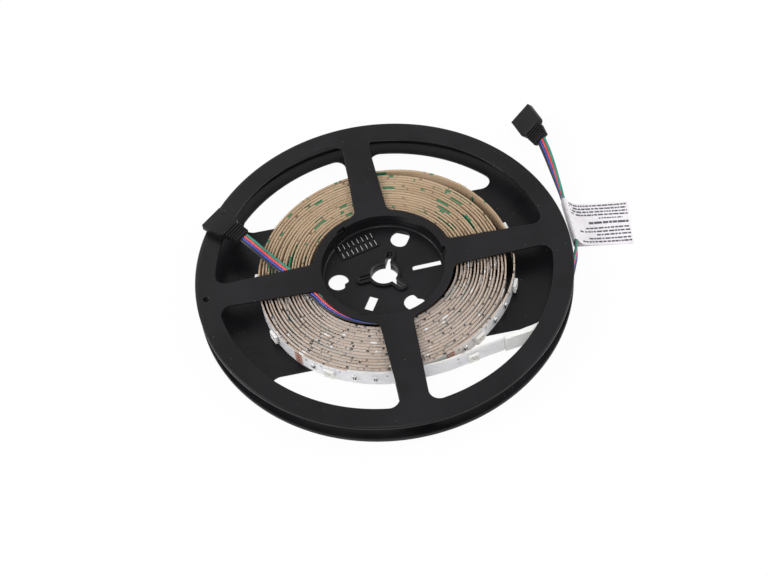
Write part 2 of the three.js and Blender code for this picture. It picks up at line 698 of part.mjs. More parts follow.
// The connector's frame: from the end of its lead along the axis, with x near the green direction
function connector(name, rear, axis, green) {
  const y = new THREE.Vector3(...axis).normalize();
  const x = new THREE.Vector3(...green);
  x.addScaledVector(y, -x.dot(y)).normalize();
  const z = x.clone().cross(y);
  const matrix = new THREE.Matrix4().makeBasis(x, y, z);
  matrix.setPosition(rear.clone().addScaledVector(z, -SHELL.height / 2).addScaledVector(y, SEAT_GAP));
  add(`${name}_strain_relief`, reliefSolid(), finishes.connector).applyMatrix4(matrix);
  add(`${name}_housing`, shellSolid(), finishes.connector).applyMatrix4(matrix);
  socketPlaces().forEach((place, i) => {
    add(`${name}_contact_${i + 1}`, contactSolid(place), finishes.contact).applyMatrix4(matrix);
  });
}

const [innerRear, outerRear] = reelPlaces([innerRoute.at(-1).at, outerRoute.at(-1).at])
  .map((at) => new THREE.Vector3(...at));
connector('inner_connector', innerRear, [-0.72, 0.69, 0], [0.7, 0.7, 0]);
connector('outer_connector', outerRear, [-0.33, 0.944, -0.02], [0.7, 0.265, 0.663]);

// The paper flag folded round the outer lead: its section runs across the lead, and it is folded askew
function labelFlag() {
  const inside = { half: LEAD_THICKNESS / 2 + 0.25, base: 0.45, top: 6.4 };
  const { paper, length } = LABEL;
  const outer = [
    [length, 0.12], [length, 0.12 + 2 * paper], [8, 0.12 + 2 * paper], [4, 1.5], [2, 3.6],
    [inside.half + paper, inside.top - 0.4], [inside.half * 0.5, inside.top + paper],
    [-inside.half * 0.5, inside.top + paper], [-inside.half - paper, inside.top - 0.4],
    [-inside.half - paper, inside.base + paper], [-inside.half * 0.4, 0.12],
  ].map(([x, z]) => new THREE.Vector2(x, z));
  const hole = [
    [inside.half, inside.base], [inside.half, inside.top - 0.5], [0, inside.top],
    [-inside.half, inside.top - 0.5], [-inside.half, inside.base],
  ].map(([x, z]) => new THREE.Vector2(x, z));
  const folded = solid(prism(outer, 0, LABEL.width)).subtract(solid(prism(hole, -1, LABEL.width + 1)));
  const flag = surface(folded).rotateX(Math.PI / 2).translate(0, LABEL.width / 2, 0);
  const places = flag.attributes.position;
  for (let i = 0; i < places.count; i += 1) {
    const [x, y] = [places.getX(i), places.getY(i)];
    places.setX(i, x * (1 + y * Math.tan(radians(LABEL.taper)) / length));
    places.setY(i, y + x * Math.tan(radians(LABEL.skew)));
  }
  return flag;
}

const labelMesh = add('label_flag', labelFlag(), finishes.paper);
labelMesh.rotation.z = radians(LABEL.turn);
labelMesh.position.set(...reelPlaces([[91.6, 17.1, 0]])[0]);

export default reel;
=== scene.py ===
# A reel of LED strip light: two black reel halves, the wound strip, two four-wire leads with their
# connectors, and a paper flag. Sizes are in millimetres and MM turns them to metres; only the lamps'
# places and the sizes inside the materials are in metres.
import math
import random

import bmesh
import bpy
from mathutils import Matrix, Vector


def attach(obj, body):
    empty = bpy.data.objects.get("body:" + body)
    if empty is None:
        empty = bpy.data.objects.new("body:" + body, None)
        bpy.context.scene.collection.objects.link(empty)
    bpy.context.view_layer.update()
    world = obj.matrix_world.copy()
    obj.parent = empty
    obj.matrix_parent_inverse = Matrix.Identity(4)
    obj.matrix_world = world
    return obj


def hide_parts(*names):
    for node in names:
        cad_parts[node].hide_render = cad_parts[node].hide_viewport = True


MM = 0.001
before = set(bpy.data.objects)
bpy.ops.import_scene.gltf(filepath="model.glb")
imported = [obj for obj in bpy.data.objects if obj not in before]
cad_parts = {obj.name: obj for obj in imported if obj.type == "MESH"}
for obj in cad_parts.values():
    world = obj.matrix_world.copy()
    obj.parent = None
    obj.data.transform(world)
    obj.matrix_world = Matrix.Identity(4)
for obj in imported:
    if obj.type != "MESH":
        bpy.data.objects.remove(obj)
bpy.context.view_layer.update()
scene = bpy.context.scene
scene.view_settings.view_transform = "Standard"


# Camera: angles in degrees, the target and the distance in millimetres
CAMERA_ANGLES = (-0.69, 53.553, -7.081)
CAMERA_TARGET = (-1.062, -4.6, 0)
CAMERA_DISTANCE = 712.9
CAMERA_LENS, CAMERA_SENSOR = 70.57, 36


def place_camera():
    azimuth, elevation, roll = (math.radians(angle) for angle in CAMERA_ANGLES)
    right = Vector((math.cos(azimuth), math.sin(azimuth), 0))
    back = Vector((math.sin(azimuth), -math.cos(azimuth), 0))
    away = back * math.cos(elevation) + Vector((0, 0, math.sin(elevation)))
    up = right.cross(-away)
    turned_right = math.cos(roll) * right + math.sin(roll) * up
    turned_up = -math.sin(roll) * right + math.cos(roll) * up
    lens = bpy.data.cameras.new("photo_camera")
    lens.sensor_width = CAMERA_SENSOR
    lens.lens = CAMERA_LENS
    lens.clip_start = 10 * MM
    holder = bpy.data.objects.new("photo_camera", lens)
    scene.collection.objects.link(holder)
    turn = Matrix((turned_right, turned_up, away)).transposed().to_4x4()
    eye = Vector(CAMERA_TARGET) + CAMERA_DISTANCE * away
    holder.matrix_world = Matrix.Translation(eye * MM) @ turn
    scene.camera = holder


place_camera()


# Plane shapes, in millimetres

def polar(radius, degrees):
    angle = math.radians(degrees)
    return Vector((radius * math.cos(angle), radius * math.sin(angle)))


def heading(point):
    return math.degrees(math.atan2(point.y, point.x))


def arc(centre, radius, start, stop, count, clockwise=False):
    sweep_angle = (stop - start) % 360
    if clockwise:
        sweep_angle -= 360
    return [centre + polar(radius, start + sweep_angle * i / count) for i in range(count + 1)]


ORIGIN = Vector((0, 0))


def circle(radius, count, centre=ORIGIN):
    return [centre + polar(radius, 360 * i / count) for i in range(count)]


def turned(points, degrees):
    spin = Matrix.Rotation(math.radians(degrees), 2)
    return [spin @ point for point in points]


def bar(start, stop, width, degrees):
    half = width / 2
    corners = [Vector((start, -half)), Vector((stop, -half)), Vector((stop, half)), Vector((start, half))]
    return turned(corners, degrees)


def rounded_box(width, height, corner, count=5):
    x, y = width / 2 - corner, height / 2 - corner
    points = []
    for cx, cy, start in ((x, y, 0), (-x, y, 90), (-x, -y, 180), (x, -y, 270)):
        points += arc(Vector((cx, cy)), corner, start, start + 90, count)
    return points


# Solids

SMOOTH_ANGLE = 32


def new_mesh(name, points, faces, smooth_angle=SMOOTH_ANGLE):
    mesh = bpy.data.meshes.new(name)
    mesh.from_pydata([Vector(p) * MM for p in points], [], faces)
    mesh.validate()
    finish_shading(mesh, smooth_angle)
    return mesh


def finish_shading(mesh, smooth_angle):
    mesh.shade_smooth()
    mesh.set_sharp_from_angle(angle=math.radians(smooth_angle))


def plate(outlines, low, high, edge):
    """A flat plate with holes and rounded edges: the first outline is its rim."""
    curve = bpy.data.curves.new("plate_outline", "CURVE")
    curve.dimensions = "2D"
    curve.fill_mode = "BOTH"
    curve.extrude = ((high - low) / 2 - edge) * MM
    curve.bevel_depth = edge * MM
    curve.bevel_resolution = 2
    curve.offset = -edge * MM
    for outline in outlines:
        spline = curve.splines.new("POLY")
        spline.points.add(len(outline) - 1)
        for slot, point in zip(spline.points, outline):
            slot.co = (point.x * MM, point.y * MM, 0, 1)
        spline.use_cyclic_u = True
    holder = bpy.data.objects.new("plate_outline", curve)
    scene.collection.objects.link(holder)
    bpy.context.view_layer.update()
    mesh = bpy.data.meshes.new_from_object(holder.evaluated_get(bpy.context.evaluated_depsgraph_get()))
    bpy.data.objects.remove(holder)
    bpy.data.curves.remove(curve)
    mesh.transform(Matrix.Translation((0, 0, (low + high) / 2 * MM)))
    return mesh


def band_faces(rings, sides, closed=False):
    """Quads between rings of points, and a cap at each end of a band that isn't closed."""
    faces = []
    for i in range(rings if closed else rings - 1):
        here, there = i * sides, (i + 1) % rings * sides
        for j in range(sides):
            k = (j + 1) % sides
            faces.append((here + j, there + j, there + k, here + k))
    if not closed:
        last = (rings - 1) * sides
        faces += [tuple(range(sides)), tuple(reversed(range(last, last + sides)))]
    return faces


def turned_ring(profile, start=0, sweep_angle=360, count=240):
    """A closed profile of (radius, height) turned about Z; part of a turn is capped at both ends."""
    whole = sweep_angle >= 360
    rings = count if whole else count + 1
    points = []
    for i in range(rings):
        spoke = polar(1, start + sweep_angle * i / count)
        points += [(spoke.x * r, spoke.y * r, z) for r, z in profile]
    return new_mesh("turned_ring", points, band_faces(rings, len(profile), whole))


def ring_profile(inner, outer, low, high, edge):
    """An upright ring's section as (radius, height) pairs, with rounded corners."""
    corners = ((outer, low, 270), (outer, high, 0), (inner, high, 90), (inner, low, 180))
    profile = []
    for radius, height, start in corners:
        inward = edge if radius == inner else -edge
        upward = edge if height == low else -edge
        centre = Vector((radius + inward, height + upward))
        profile += [tuple(p) for p in arc(centre, edge, start, start + 90, 3)]
    return profile


def sweep(stations, section):
    """A band through (centre, across, up) stations; the section is in multiples of across and up."""
    points = [at + across * a + up * b for at, across, up in stations for a, b in section]
    return points, band_faces(len(stations), len(section))


def piece(name, meshes, materials, smooth_angle=SMOOTH_ANGLE):
    """One object from (mesh, material index) pairs; a mesh with no index keeps its own."""
    whole = bmesh.new()
    for entry in meshes:
        mesh, index = entry if isinstance(entry, tuple) else (entry, None)
        first = len(whole.faces)
        whole.from_mesh(mesh)
        whole.faces.ensure_lookup_table()
        if index is not None:
            for face in whole.faces[first:]:
                face.material_index = index
        bpy.data.meshes.remove(mesh)
    mesh = bpy.data.meshes.new(name)
    bmesh.ops.recalc_face_normals(whole, faces=whole.faces)
    whole.to_mesh(mesh)
    whole.free()
    for material in materials:
        mesh.materials.append(material)
    finish_shading(mesh, smooth_angle)
    made = bpy.data.objects.new(name, mesh)
    scene.collection.objects.link(made)
    return made


def take_place(made, node_name):
    """Puts a piece on the part's one body in place of the plain node that it dresses."""
    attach(made, "root")
    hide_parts(node_name)


def moved(mesh, matrix):
    mesh.transform(matrix)
    return mesh


def block(size, centre, edge):
    """A small box with softened edges."""
    shape = bmesh.new()
    bmesh.ops.create_cube(shape, size=1)
    bmesh.ops.scale(shape, vec=Vector(size) * MM, verts=shape.verts)
    if edge:
        bmesh.ops.bevel(shape, geom=shape.edges[:], offset=edge * MM, segments=2, profile=0.5, affect="EDGES")
    bmesh.ops.translate(shape, vec=Vector(centre) * MM, verts=shape.verts)
    mesh = bpy.data.meshes.new("block")
    shape.to_mesh(mesh)
    shape.free()
    return mesh


def round_bar(points, radius, count):
    """A round wire through points in millimetres."""
    stations = []
    side = None
    for i, at in enumerate(points):
        along = (points[min(i + 1, len(points) - 1)] - points[max(i - 1, 0)]).normalized()
        side = side or along.orthogonal()
        side = (side - along * side.dot(along)).normalized()
        stations.append((at, side * radius, along.cross(side) * radius))
    section = [tuple(p) for p in circle(1, count)]
    return new_mesh("round_bar", *sweep(stations, section))


def carve(mesh, cutters):
    """The mesh less the cutters, by exact booleans."""
    body = bpy.data.objects.new("carved", mesh)
    scene.collection.objects.link(body)
    tools = []
    for cutter in cutters:
        tool = bpy.data.objects.new("cutter", cutter)
        scene.collection.objects.link(tool)
        tools.append(tool)
        step = body.modifiers.new("cut", "BOOLEAN")
        step.operation = "DIFFERENCE"
        step.solver = "EXACT"
        step.object = tool
    bpy.context.view_layer.update()
    result = bpy.data.meshes.new_from_object(body.evaluated_get(bpy.context.evaluated_depsgraph_get()))
    for used in [body, *tools]:
        bpy.data.objects.remove(used)
    return result


# Material building blocks

def wire(tree, source, target):
    tree.links.new(source, target)


def new_group(name, inputs, outputs):
    group = bpy.data.node_groups.new(name, "ShaderNodeTree")
    for label, kind, value in inputs:
        socket = group.interface.new_socket(label, in_out="INPUT", socket_type=f"NodeSocket{kind}")
        socket.default_value = value
    for label, kind in outputs:
        group.interface.new_socket(label, in_out="OUTPUT", socket_type=f"NodeSocket{kind}")
    return group, group.nodes.new("NodeGroupInput"), group.nodes.new("NodeGroupOutput")


def node(tree, kind, **settings):
    made = tree.nodes.new(f"ShaderNode{kind}")
    for key, value in settings.items():
        setattr(made, key, value)
    return made


def worked_out(tree, operation, first, second):
    """A math node on two values, each a socket or a number."""
    made = node(tree, "Math", operation=operation)
    for slot, value in zip(made.inputs, (first, second)):
        if isinstance(value, (int, float)):
            slot.default_value = value
        else:
            wire(tree, value, slot)
    return made.outputs[0]


def ramp_between(tree, value, low, high, to_low=0.0, to_high=1.0):
    made = node(tree, "MapRange", clamp=True)
    wire(tree, value, made.inputs["Value"])
    for label, number in (("From Min", low), ("From Max", high), ("To Min", to_low), ("To Max", to_high)):
        made.inputs[label].default_value = number
    return made.outputs["Result"]


def mask_between(group, value, given):
    """A mask that rises from nought to one as a value goes from the group's Low to its High."""
    spread = node(group, "MapRange", clamp=True)
    wire(group, value, spread.inputs["Value"])
    wire(group, given.outputs["Low"], spread.inputs["From Min"])
    wire(group, given.outputs["High"], spread.inputs["From Max"])
    return spread.outputs["Result"]


def fine_grain_group():
    """Fine noise as a tone, and as a bump a few hundredths of a millimetre deep."""
    group, given, result = new_group(
        "fine_grain",
        [("Size", "Float", 900.0), ("Depth", "Float", 0.1)],
        [("Tone", "Float"), ("Normal", "Vector")],
    )
    place = node(group, "TexCoord")
    fine = node(group, "TexNoise")
    fine.inputs["Detail"].default_value = 4
    wire(group, place.outputs["Object"], fine.inputs["Vector"])
    wire(group, given.outputs["Size"], fine.inputs["Scale"])
    bump = node(group, "Bump")
    bump.inputs["Distance"].default_value = 0.06 * MM
    wire(group, given.outputs["Depth"], bump.inputs["Strength"])
    wire(group, fine.outputs["Fac"], bump.inputs["Height"])
    wire(group, fine.outputs["Fac"], result.inputs["Tone"])
    wire(group, bump.outputs["Normal"], result.inputs["Normal"])
    return group


def cloudy_patch_group():
    """Broad, soft patches."""
    group, given, result = new_group(
        "cloudy_patch",
        [("Size", "Float", 40.0), ("Low", "Float", 0.4), ("High", "Float", 0.6)],
        [("Mask", "Float")],
    )
    place = node(group, "TexCoord")
    cloud = node(group, "TexNoise")
    cloud.inputs["Detail"].default_value = 5
    wire(group, place.outputs["Object"], cloud.inputs["Vector"])
    wire(group, given.outputs["Size"], cloud.inputs["Scale"])
    wire(group, mask_between(group, cloud.outputs["Fac"], given), result.inputs["Mask"])
    return group


def dust_group():
    """Small round specks, in one cell out of ten."""
    few_cells = 0.9
    group, given, result = new_group(
        "dust_specks",
        [("Size", "Float", 500.0), ("Speck", "Float", 0.09)],
        [("Mask", "Float")],
    )
    place = node(group, "TexCoord")
    cells = node(group, "TexVoronoi")
    wire(group, place.outputs["Object"], cells.inputs["Vector"])
    wire(group, given.outputs["Size"], cells.inputs["Scale"])
    chosen = node(group, "TexWhiteNoise", noise_dimensions="3D")
    wire(group, cells.outputs["Position"], chosen.inputs["Vector"])
    near = worked_out(group, "LESS_THAN", cells.outputs["Distance"], given.outputs["Speck"])
    few = worked_out(group, "GREATER_THAN", chosen.outputs["Value"], few_cells)
    wire(group, worked_out(group, "MULTIPLY", near, few), result.inputs["Mask"])
    return group


def run_blot_group():
    """Blots along the strip's length, from the map that holds (length, height) in metres."""
    group, given, result = new_group(
        "run_blots",
        [("Along", "Float", 90.0), ("Up", "Float", 300.0), ("Low", "Float", 0.6), ("High", "Float", 0.64)],
        [("Mask", "Float")],
    )
    run = node(group, "UVMap", uv_map="strip_run")
    split = node(group, "SeparateXYZ")
    join = node(group, "CombineXYZ")
    wire(group, run.outputs["UV"], split.inputs[0])
    wire(group, worked_out(group, "MULTIPLY", split.outputs["X"], given.outputs["Along"]), join.inputs["X"])
    wire(group, worked_out(group, "MULTIPLY", split.outputs["Y"], given.outputs["Up"]), join.inputs["Y"])
    blot = node(group, "TexNoise")
    blot.inputs["Scale"].default_value = 1
    blot.inputs["Detail"].default_value = 3
    wire(group, join.outputs[0], blot.inputs["Vector"])
    wire(group, mask_between(group, blot.outputs["Fac"], given), result.inputs["Mask"])
    return group


FINE_GRAIN = fine_grain_group()
CLOUDY_PATCH = cloudy_patch_group()
DUST = dust_group()
RUN_BLOTS = run_blot_group()


def use(tree, group, **values):
    made = tree.nodes.new("ShaderNodeGroup")
    made.node_tree = group
    for label, value in values.items():
        made.inputs[label].default_value = value
    return made


def start_material(name, **values):
    material = bpy.data.materials.new(name)
    material.use_nodes = True
    shader = material.node_tree.nodes["Principled BSDF"]
    for label, value in values.items():
        shader.inputs[label.replace("_", " ")].default_value = value
    return material, material.node_tree, shader


def mixed(tree, mask, first, second):
    """A colour between two, each a socket or a colour, by a mask."""
    blend = node(tree, "Mix", data_type="RGBA")
    wire(tree, mask, blend.inputs[0])
    for slot, value in ((blend.inputs[6], first), (blend.inputs[7], second)):
        if isinstance(value, tuple):
            slot.default_value = (*value, 1)
        else:
            wire(tree, value, slot)
    return blend.outputs[2]


def finish_material(tree, shader, tone, rough, grains):
    wire(tree, tone, shader.inputs["Base Color"])
    wire(tree, rough, shader.inputs["Roughness"])
    wire(tree, grains.outputs["Normal"], shader.inputs["Normal"])


def moulded_plastic(name, dark, light, rough_low, rough_high, grain=700.0, depth=0.12, specular=0.3,
                    dust=0.35):
    """Mottled plastic with a fine grain and a few pale specks of dust."""
    material, tree, shader = start_material(name, Specular_IOR_Level=specular)
    patch = use(tree, CLOUDY_PATCH, Size=38.0, Low=0.35, High=0.68)
    grains = use(tree, FINE_GRAIN, Size=grain, Depth=depth)
    specks = use(tree, DUST, Size=420.0, Speck=0.1)
    tone = mixed(tree, patch.outputs["Mask"], dark, light)
    pale = tuple(min(1.0, c + 0.25) for c in light)
    amount = worked_out(tree, "MULTIPLY", specks.outputs["Mask"], dust)
    uneven = worked_out(tree, "ADD", patch.outputs["Mask"], grains.outputs["Tone"])
    rough = ramp_between(tree, uneven, 0.3, 1.5, rough_low, rough_high)
    finish_material(tree, shader, mixed(tree, amount, tone, pale), rough, grains)
    return material


def smooth_skin(name, first, second, rough_low, rough_high, grain=1500.0, depth=0.05, specular=0.5):
    """A smooth coloured surface, faintly mottled."""
    material, tree, shader = start_material(name, Specular_IOR_Level=specular)
    patch = use(tree, CLOUDY_PATCH, Size=160.0, Low=0.35, High=0.65)
    grains = use(tree, FINE_GRAIN, Size=grain, Depth=depth)
    tone = mixed(tree, patch.outputs["Mask"], first, second)
    rough = ramp_between(tree, grains.outputs["Tone"], 0.3, 0.7, rough_low, rough_high)
    finish_material(tree, shader, tone, rough, grains)
    return material


def strip_face(name, first, second, rough, blots):
    """A face of the strip; each blot is (colour, low, high, times a metre along, times a metre up)."""
    material, tree, shader = start_material(name, Specular_IOR_Level=0.4)
    soft = use(tree, RUN_BLOTS, Along=60.0, Up=150.0, Low=0.3, High=0.7)
    grains = use(tree, FINE_GRAIN, Size=1400.0, Depth=0.08)
    tone = mixed(tree, soft.outputs["Mask"], first, second)
    for colour, low, high, along, up in blots:
        blot = use(tree, RUN_BLOTS, Along=along, Up=up, Low=low, High=high)
        tone = mixed(tree, blot.outputs["Mask"], tone, colour)
    uneven = ramp_between(tree, grains.outputs["Tone"], 0.3, 0.7, rough - 0.08, rough + 0.08)
    finish_material(tree, shader, tone, uneven, grains)
    return material


def plated_metal(name, first, second, rough_low, rough_high):
    """Thin bright metal with fine patches."""
    material, tree, shader = start_material(name, Metallic=1.0)
    patch = use(tree, CLOUDY_PATCH, Size=900.0, Low=0.3, High=0.7)
    grains = use(tree, FINE_GRAIN, Size=2400.0, Depth=0.1)
    tone = mixed(tree, patch.outputs["Mask"], first, second)
    rough = ramp_between(tree, patch.outputs["Mask"], 0, 1, rough_low, rough_high)
    finish_material(tree, shader, tone, rough, grains)
    return material


# Materials
reel_plastic = moulded_plastic("reel_plastic", (0.006, 0.0055, 0.0065), (0.0105, 0.0095, 0.011), 0.25, 0.4,
                               specular=0.165)
# A light grey plastic for the strips on top of the comb's ribs: a painted highlight standing in for the
# glints on them.
painted_glint_plastic = moulded_plastic("painted_glint_plastic", (0.25, 0.25, 0.26), (0.5, 0.5, 0.5), 0.2, 0.3)
connector_plastic = moulded_plastic("connector_plastic", (0.0105, 0.01, 0.0105), (0.016, 0.015, 0.016),
                                    0.38, 0.52, grain=1100.0, depth=0.2, specular=0.12, dust=0.2)
# Near-black for the sockets' floors: painted shade deep in the sockets.
socket_floor_shade = smooth_skin("socket_floor_shade", (0.002, 0.002, 0.002), (0.004, 0.004, 0.004), 0.6, 0.8)
# The dark brown and the black below are painted shade: dashes on the turns' edges that stand for the shadow
# between the turns.
FLECK_GREEN, GAP_SHADE_BROWN, GAP_SHADE_BLACK = (0.02, 0.17, 0.08), (0.1, 0.06, 0.04), (0.035, 0.028, 0.025)
SPOT_WHITE, BOARD_GREY, TAIL_GREY = (0.72, 0.7, 0.68), (0.66, 0.66, 0.7), (0.4, 0.36, 0.33)
board_white = strip_face("board_white", (0.78, 0.78, 0.81), (0.87, 0.87, 0.88), 0.32,
                         [(BOARD_GREY, 0.6, 0.72, 140.0, 300.0)])
# The far edge's dark brown dashes and the near edge's black dashes are painted shade between the turns; the
# green flecks and pale spots are the strip's own colours.
far_edge = strip_face("far_edge", (0.4, 0.276, 0.17), (0.5, 0.365, 0.24), 0.6,
                      [(GAP_SHADE_BROWN, 0.6, 0.67, 260.0, 300.0), (FLECK_GREEN, 0.612, 0.622, 85.0, 20.0)])
near_edge = strip_face("near_edge", (0.41, 0.31, 0.238), (0.54, 0.43, 0.355), 0.6,
                       [(GAP_SHADE_BLACK, 0.57, 0.61, 420.0, 300.0), (SPOT_WHITE, 0.635, 0.67, 180.0, 20.0)])
tail_edge = strip_face("tail_edge", (0.62, 0.6, 0.58), (0.74, 0.72, 0.7), 0.5,
                       [(TAIL_GREY, 0.62, 0.7, 200.0, 300.0)])
backing_paper = strip_face("backing_paper", (0.42, 0.295, 0.18), (0.52, 0.385, 0.255), 0.6,
                           [(FLECK_GREEN, 0.59, 0.602, 75.0, 30.0)])
copper_pad = smooth_skin("copper_pad", (0.36, 0.1, 0.045), (0.5, 0.17, 0.08), 0.3, 0.5)
tinned_metal = plated_metal("tinned_metal", (0.72, 0.72, 0.7), (0.85, 0.85, 0.84), 0.25, 0.4)
contact_brass = plated_metal("contact_brass", (0.72, 0.56, 0.28), (0.85, 0.7, 0.4), 0.2, 0.35)
led_body = smooth_skin("led_body", (0.82, 0.81, 0.78), (0.88, 0.87, 0.84), 0.35, 0.5)
led_resin = smooth_skin("led_resin", (0.7, 0.7, 0.63), (0.77, 0.76, 0.7), 0.1, 0.18)
led_die = smooth_skin("led_die", (0.02, 0.04, 0.05), (0.06, 0.08, 0.1), 0.3, 0.4)
chip_black = smooth_skin("chip_black", (0.012, 0.012, 0.014), (0.03, 0.03, 0.032), 0.35, 0.5)
sleeve_white = smooth_skin("sleeve_white", (0.82, 0.82, 0.8), (0.88, 0.88, 0.86), 0.25, 0.4)
wire_black = smooth_skin("wire_black", (0.012, 0.012, 0.014), (0.022, 0.022, 0.024), 0.3, 0.42)
wire_blue = smooth_skin("wire_blue", (0.03, 0.065, 0.36), (0.045, 0.09, 0.46), 0.3, 0.42)
wire_red = smooth_skin("wire_red", (0.74, 0.065, 0.055), (0.84, 0.1, 0.08), 0.3, 0.42)
wire_green = smooth_skin("wire_green", (0.012, 0.2, 0.14), (0.025, 0.27, 0.2), 0.3, 0.42)
flag_paper = smooth_skin("flag_paper", (0.84, 0.81, 0.845), (0.89, 0.86, 0.89), 0.6, 0.75,
                         grain=2600.0, depth=0.25, specular=0.3)
flag_ink = smooth_skin("flag_ink", (0.06, 0.055, 0.07), (0.11, 0.1, 0.12), 0.5, 0.7)


# Leads

def through(route, share):
    """A place on a centripetal Catmull-Rom curve through points, share from 0 to 1."""
    spans = len(route) - 1
    spot = min(max(share, 0.0), 1.0) * spans
    i = min(int(spot), spans - 1)
    t = spot - i
    p1, p2 = route[i], route[i + 1]
    p0 = route[i - 1] if i > 0 else p1 * 2 - p2
    p3 = route[i + 2] if i + 2 <= spans else p2 * 2 - p1
    d0, d1, d2 = (max(math.sqrt((b - a).length), 1e-6) for a, b in ((p0, p1), (p1, p2), (p2, p3)))
    m1 = ((p1 - p0) / d0 - (p2 - p0) / (d0 + d1) + (p2 - p1) / d1) * d1
    m2 = ((p2 - p1) / d1 - (p3 - p1) / (d1 + d2) + (p3 - p2) / d2) * d1
    c2 = -3 * p1 + 3 * p2 - 2 * m1 - m2
    c3 = 2 * p1 - 2 * p2 + m1 + m2
    return p1 + m1 * t + c2 * t * t + c3 * t * t * t


def direction(route, share, step):
    return (through(route, share + step) - through(route, share - step)).normalized()


LEAD_WIDTH = 5.2
WIRE_RADIUS = LEAD_WIDTH / 8 - 0.02
ABOVE_ROLL = 10.88
ON_RIM = 15.1

# Each row: the lead's centre, the way from its black wire to its green one, and its width
INNER_ROUTE = [
    ((-3.4, -32.1, ABOVE_ROLL), (0.1, 1, 0), 1.2),
    ((-10, -30.7, ABOVE_ROLL), (0.3, 1, 0), 1.2),
    ((-15.8, -28.6, ABOVE_ROLL), (0.5, 0.9, 0), 2),
    ((-21.3, -25.4, ABOVE_ROLL), (0.65, 0.75, 0), 3),
    ((-25.9, -21.3, ABOVE_ROLL), (0.75, 0.65, 0), 3.6),
    ((-29.9, -16.6, ABOVE_ROLL), (0.8, 0.6, 0), 4.6),
    ((-33.5, -11, ABOVE_ROLL), (0.85, 0.5, 0), LEAD_WIDTH),
    ((-40, -3.2, ABOVE_ROLL), (0.8, 0.6, 0), LEAD_WIDTH),
    ((-45.4, 4, ABOVE_ROLL), (0.75, 0.66, 0), LEAD_WIDTH),
    ((-50.4, 9.6, ABOVE_ROLL + 0.5), (0.72, 0.7, 0), LEAD_WIDTH),
    ((-55.4, 15, ABOVE_ROLL + 2), (0.72, 0.7, 0), LEAD_WIDTH),
    ((-60.2, 20.4, ON_RIM - 0.7), (0.72, 0.7, 0), LEAD_WIDTH),
    ((-64.2, 25, ON_RIM), (0.74, 0.67, 0), LEAD_WIDTH),
]
OUTER_ROUTE = [
    ((75, -39.2, 6.3), (0, 0, 1), LEAD_WIDTH),
    ((79.2, -33, 6.1), (0, 0, 1), LEAD_WIDTH),
    ((82.7, -26.2, 6), (0, 0, 1), LEAD_WIDTH),
    ((85.7, -18.6, 6), (-0.1, 0, 1), LEAD_WIDTH),
    ((88.3, -10.6, 6), (-0.3, 0, 1), LEAD_WIDTH),
    ((90.6, -4, 4.7), (-0.2, 0, 1), LEAD_WIDTH),
    ((92.1, 2.8, 3.6), (0, 0, 1), LEAD_WIDTH),
    ((91.85, 10.5, 3.4), (0, 0, 1), LEAD_WIDTH),
    ((91.55, 18.5, 3.4), (0, 0, 1), LEAD_WIDTH),
    ((91.25, 26.5, 3.4), (0, 0, 1), LEAD_WIDTH),
    ((91, 34.5, 3.4), (0.1, 0, 1), LEAD_WIDTH),
    ((90.3, 43, 4), (0.3, 0.1, 1), LEAD_WIDTH),
    ((89.4, 51.6, 5), (0.5, 0.2, 0.85), LEAD_WIDTH),
    ((88.2, 60.4, 6.3), (0.65, 0.25, 0.72), LEAD_WIDTH),
    ((86.9, 68.5, 6.65), (0.7, 0.265, 0.663), LEAD_WIDTH),
]
# Each wire's place across the lead, in wires from its middle, and its material
WIRE_ORDER = ((-1.5, 0), (-0.5, 1), (0.5, 2), (1.5, 3))
WIRE_STACK, STEPS_PER_SPAN, WIRE_SIDES = 0.35, 8, 14


def lead(name, route, node_name):
    """Four round wires side by side, which stack up where the lead is narrow."""
    centres = [Vector(at) for at, _, _ in route]
    spans = len(route) - 1
    steps = spans * STEPS_PER_SPAN
    middle, sides = [], []
    for i in range(steps + 1):
        share = i / steps
        at = through(centres, share)
        along = direction(centres, share, 0.004)
        low = min(int(share * spans), spans - 1)
        part = share * spans - low
        green = Vector(route[low][1]).lerp(Vector(route[low + 1][1]), part)
        width = route[low][2] * (1 - part) + route[low + 1][2] * part
        green = (green - along * green.dot(along)).normalized()
        middle.append(at)
        sides.append((green, along, width))
    meshes = []
    for place, index in WIRE_ORDER:
        line = []
        for at, (green, along, width) in zip(middle, sides):
            pitch = width / len(WIRE_ORDER)
            stack = WIRE_STACK * place * (1 - width / LEAD_WIDTH)
            line.append(at + green * place * pitch + green.cross(along) * stack)
        meshes.append((round_bar(line, WIRE_RADIUS, WIRE_SIDES), index))
    made = piece(name, meshes, (wire_black, wire_blue, wire_red, wire_green))
    take_place(made, node_name)
    return made, middle


inner_lead, inner_middle = lead("inner_lead_wires", INNER_ROUTE, "inner_lead")
outer_lead, outer_middle = lead("outer_lead_wires", OUTER_ROUTE, "outer_lead")


# Connectors: x across the wires, y towards the mating face, z up

SHELL_WIDTH, SHELL_LENGTH, SHELL_HEIGHT, SHELL_EDGE = 12.8, 13.0, 4.4, 0.55
RELIEF_LENGTH, SEAT_GAP = 7.0, 0.3
RELIEF_RIBS, RIB_PITCH, RIB_THICKNESS = 5, 1.36, 0.8
WIRE_PITCH, SOCKET_WIDTH, SOCKET_DEPTH = 2.54, 1.7, 8
CONTACT_WIDTH = 1.05
STAND_UP = Matrix(((1, 0, 0, 0), (0, 0, 1, 0), (0, 1, 0, 0), (0, 0, 0, 1)))


def slab(outline, near, far, edge):
    """An outline in x and z, from one distance along y to another."""
    return moved(plate([outline], near, far, edge), STAND_UP)


def connector_frame(route, axis, green):
    """The place of a connector at the end of a lead's route."""
    y = Vector(axis).normalized()
    x = Vector(green)
    x = (x - y * x.dot(y)).normalized()
    z = x.cross(y)
    rear = Vector(route[-1][0]) + y * SEAT_GAP
    frame_matrix = Matrix((x, y, z)).transposed().to_4x4()
    return Matrix.Translation(rear * MM) @ frame_matrix


def wire_x(i):
    return WIRE_PITCH * (i - 1.5)


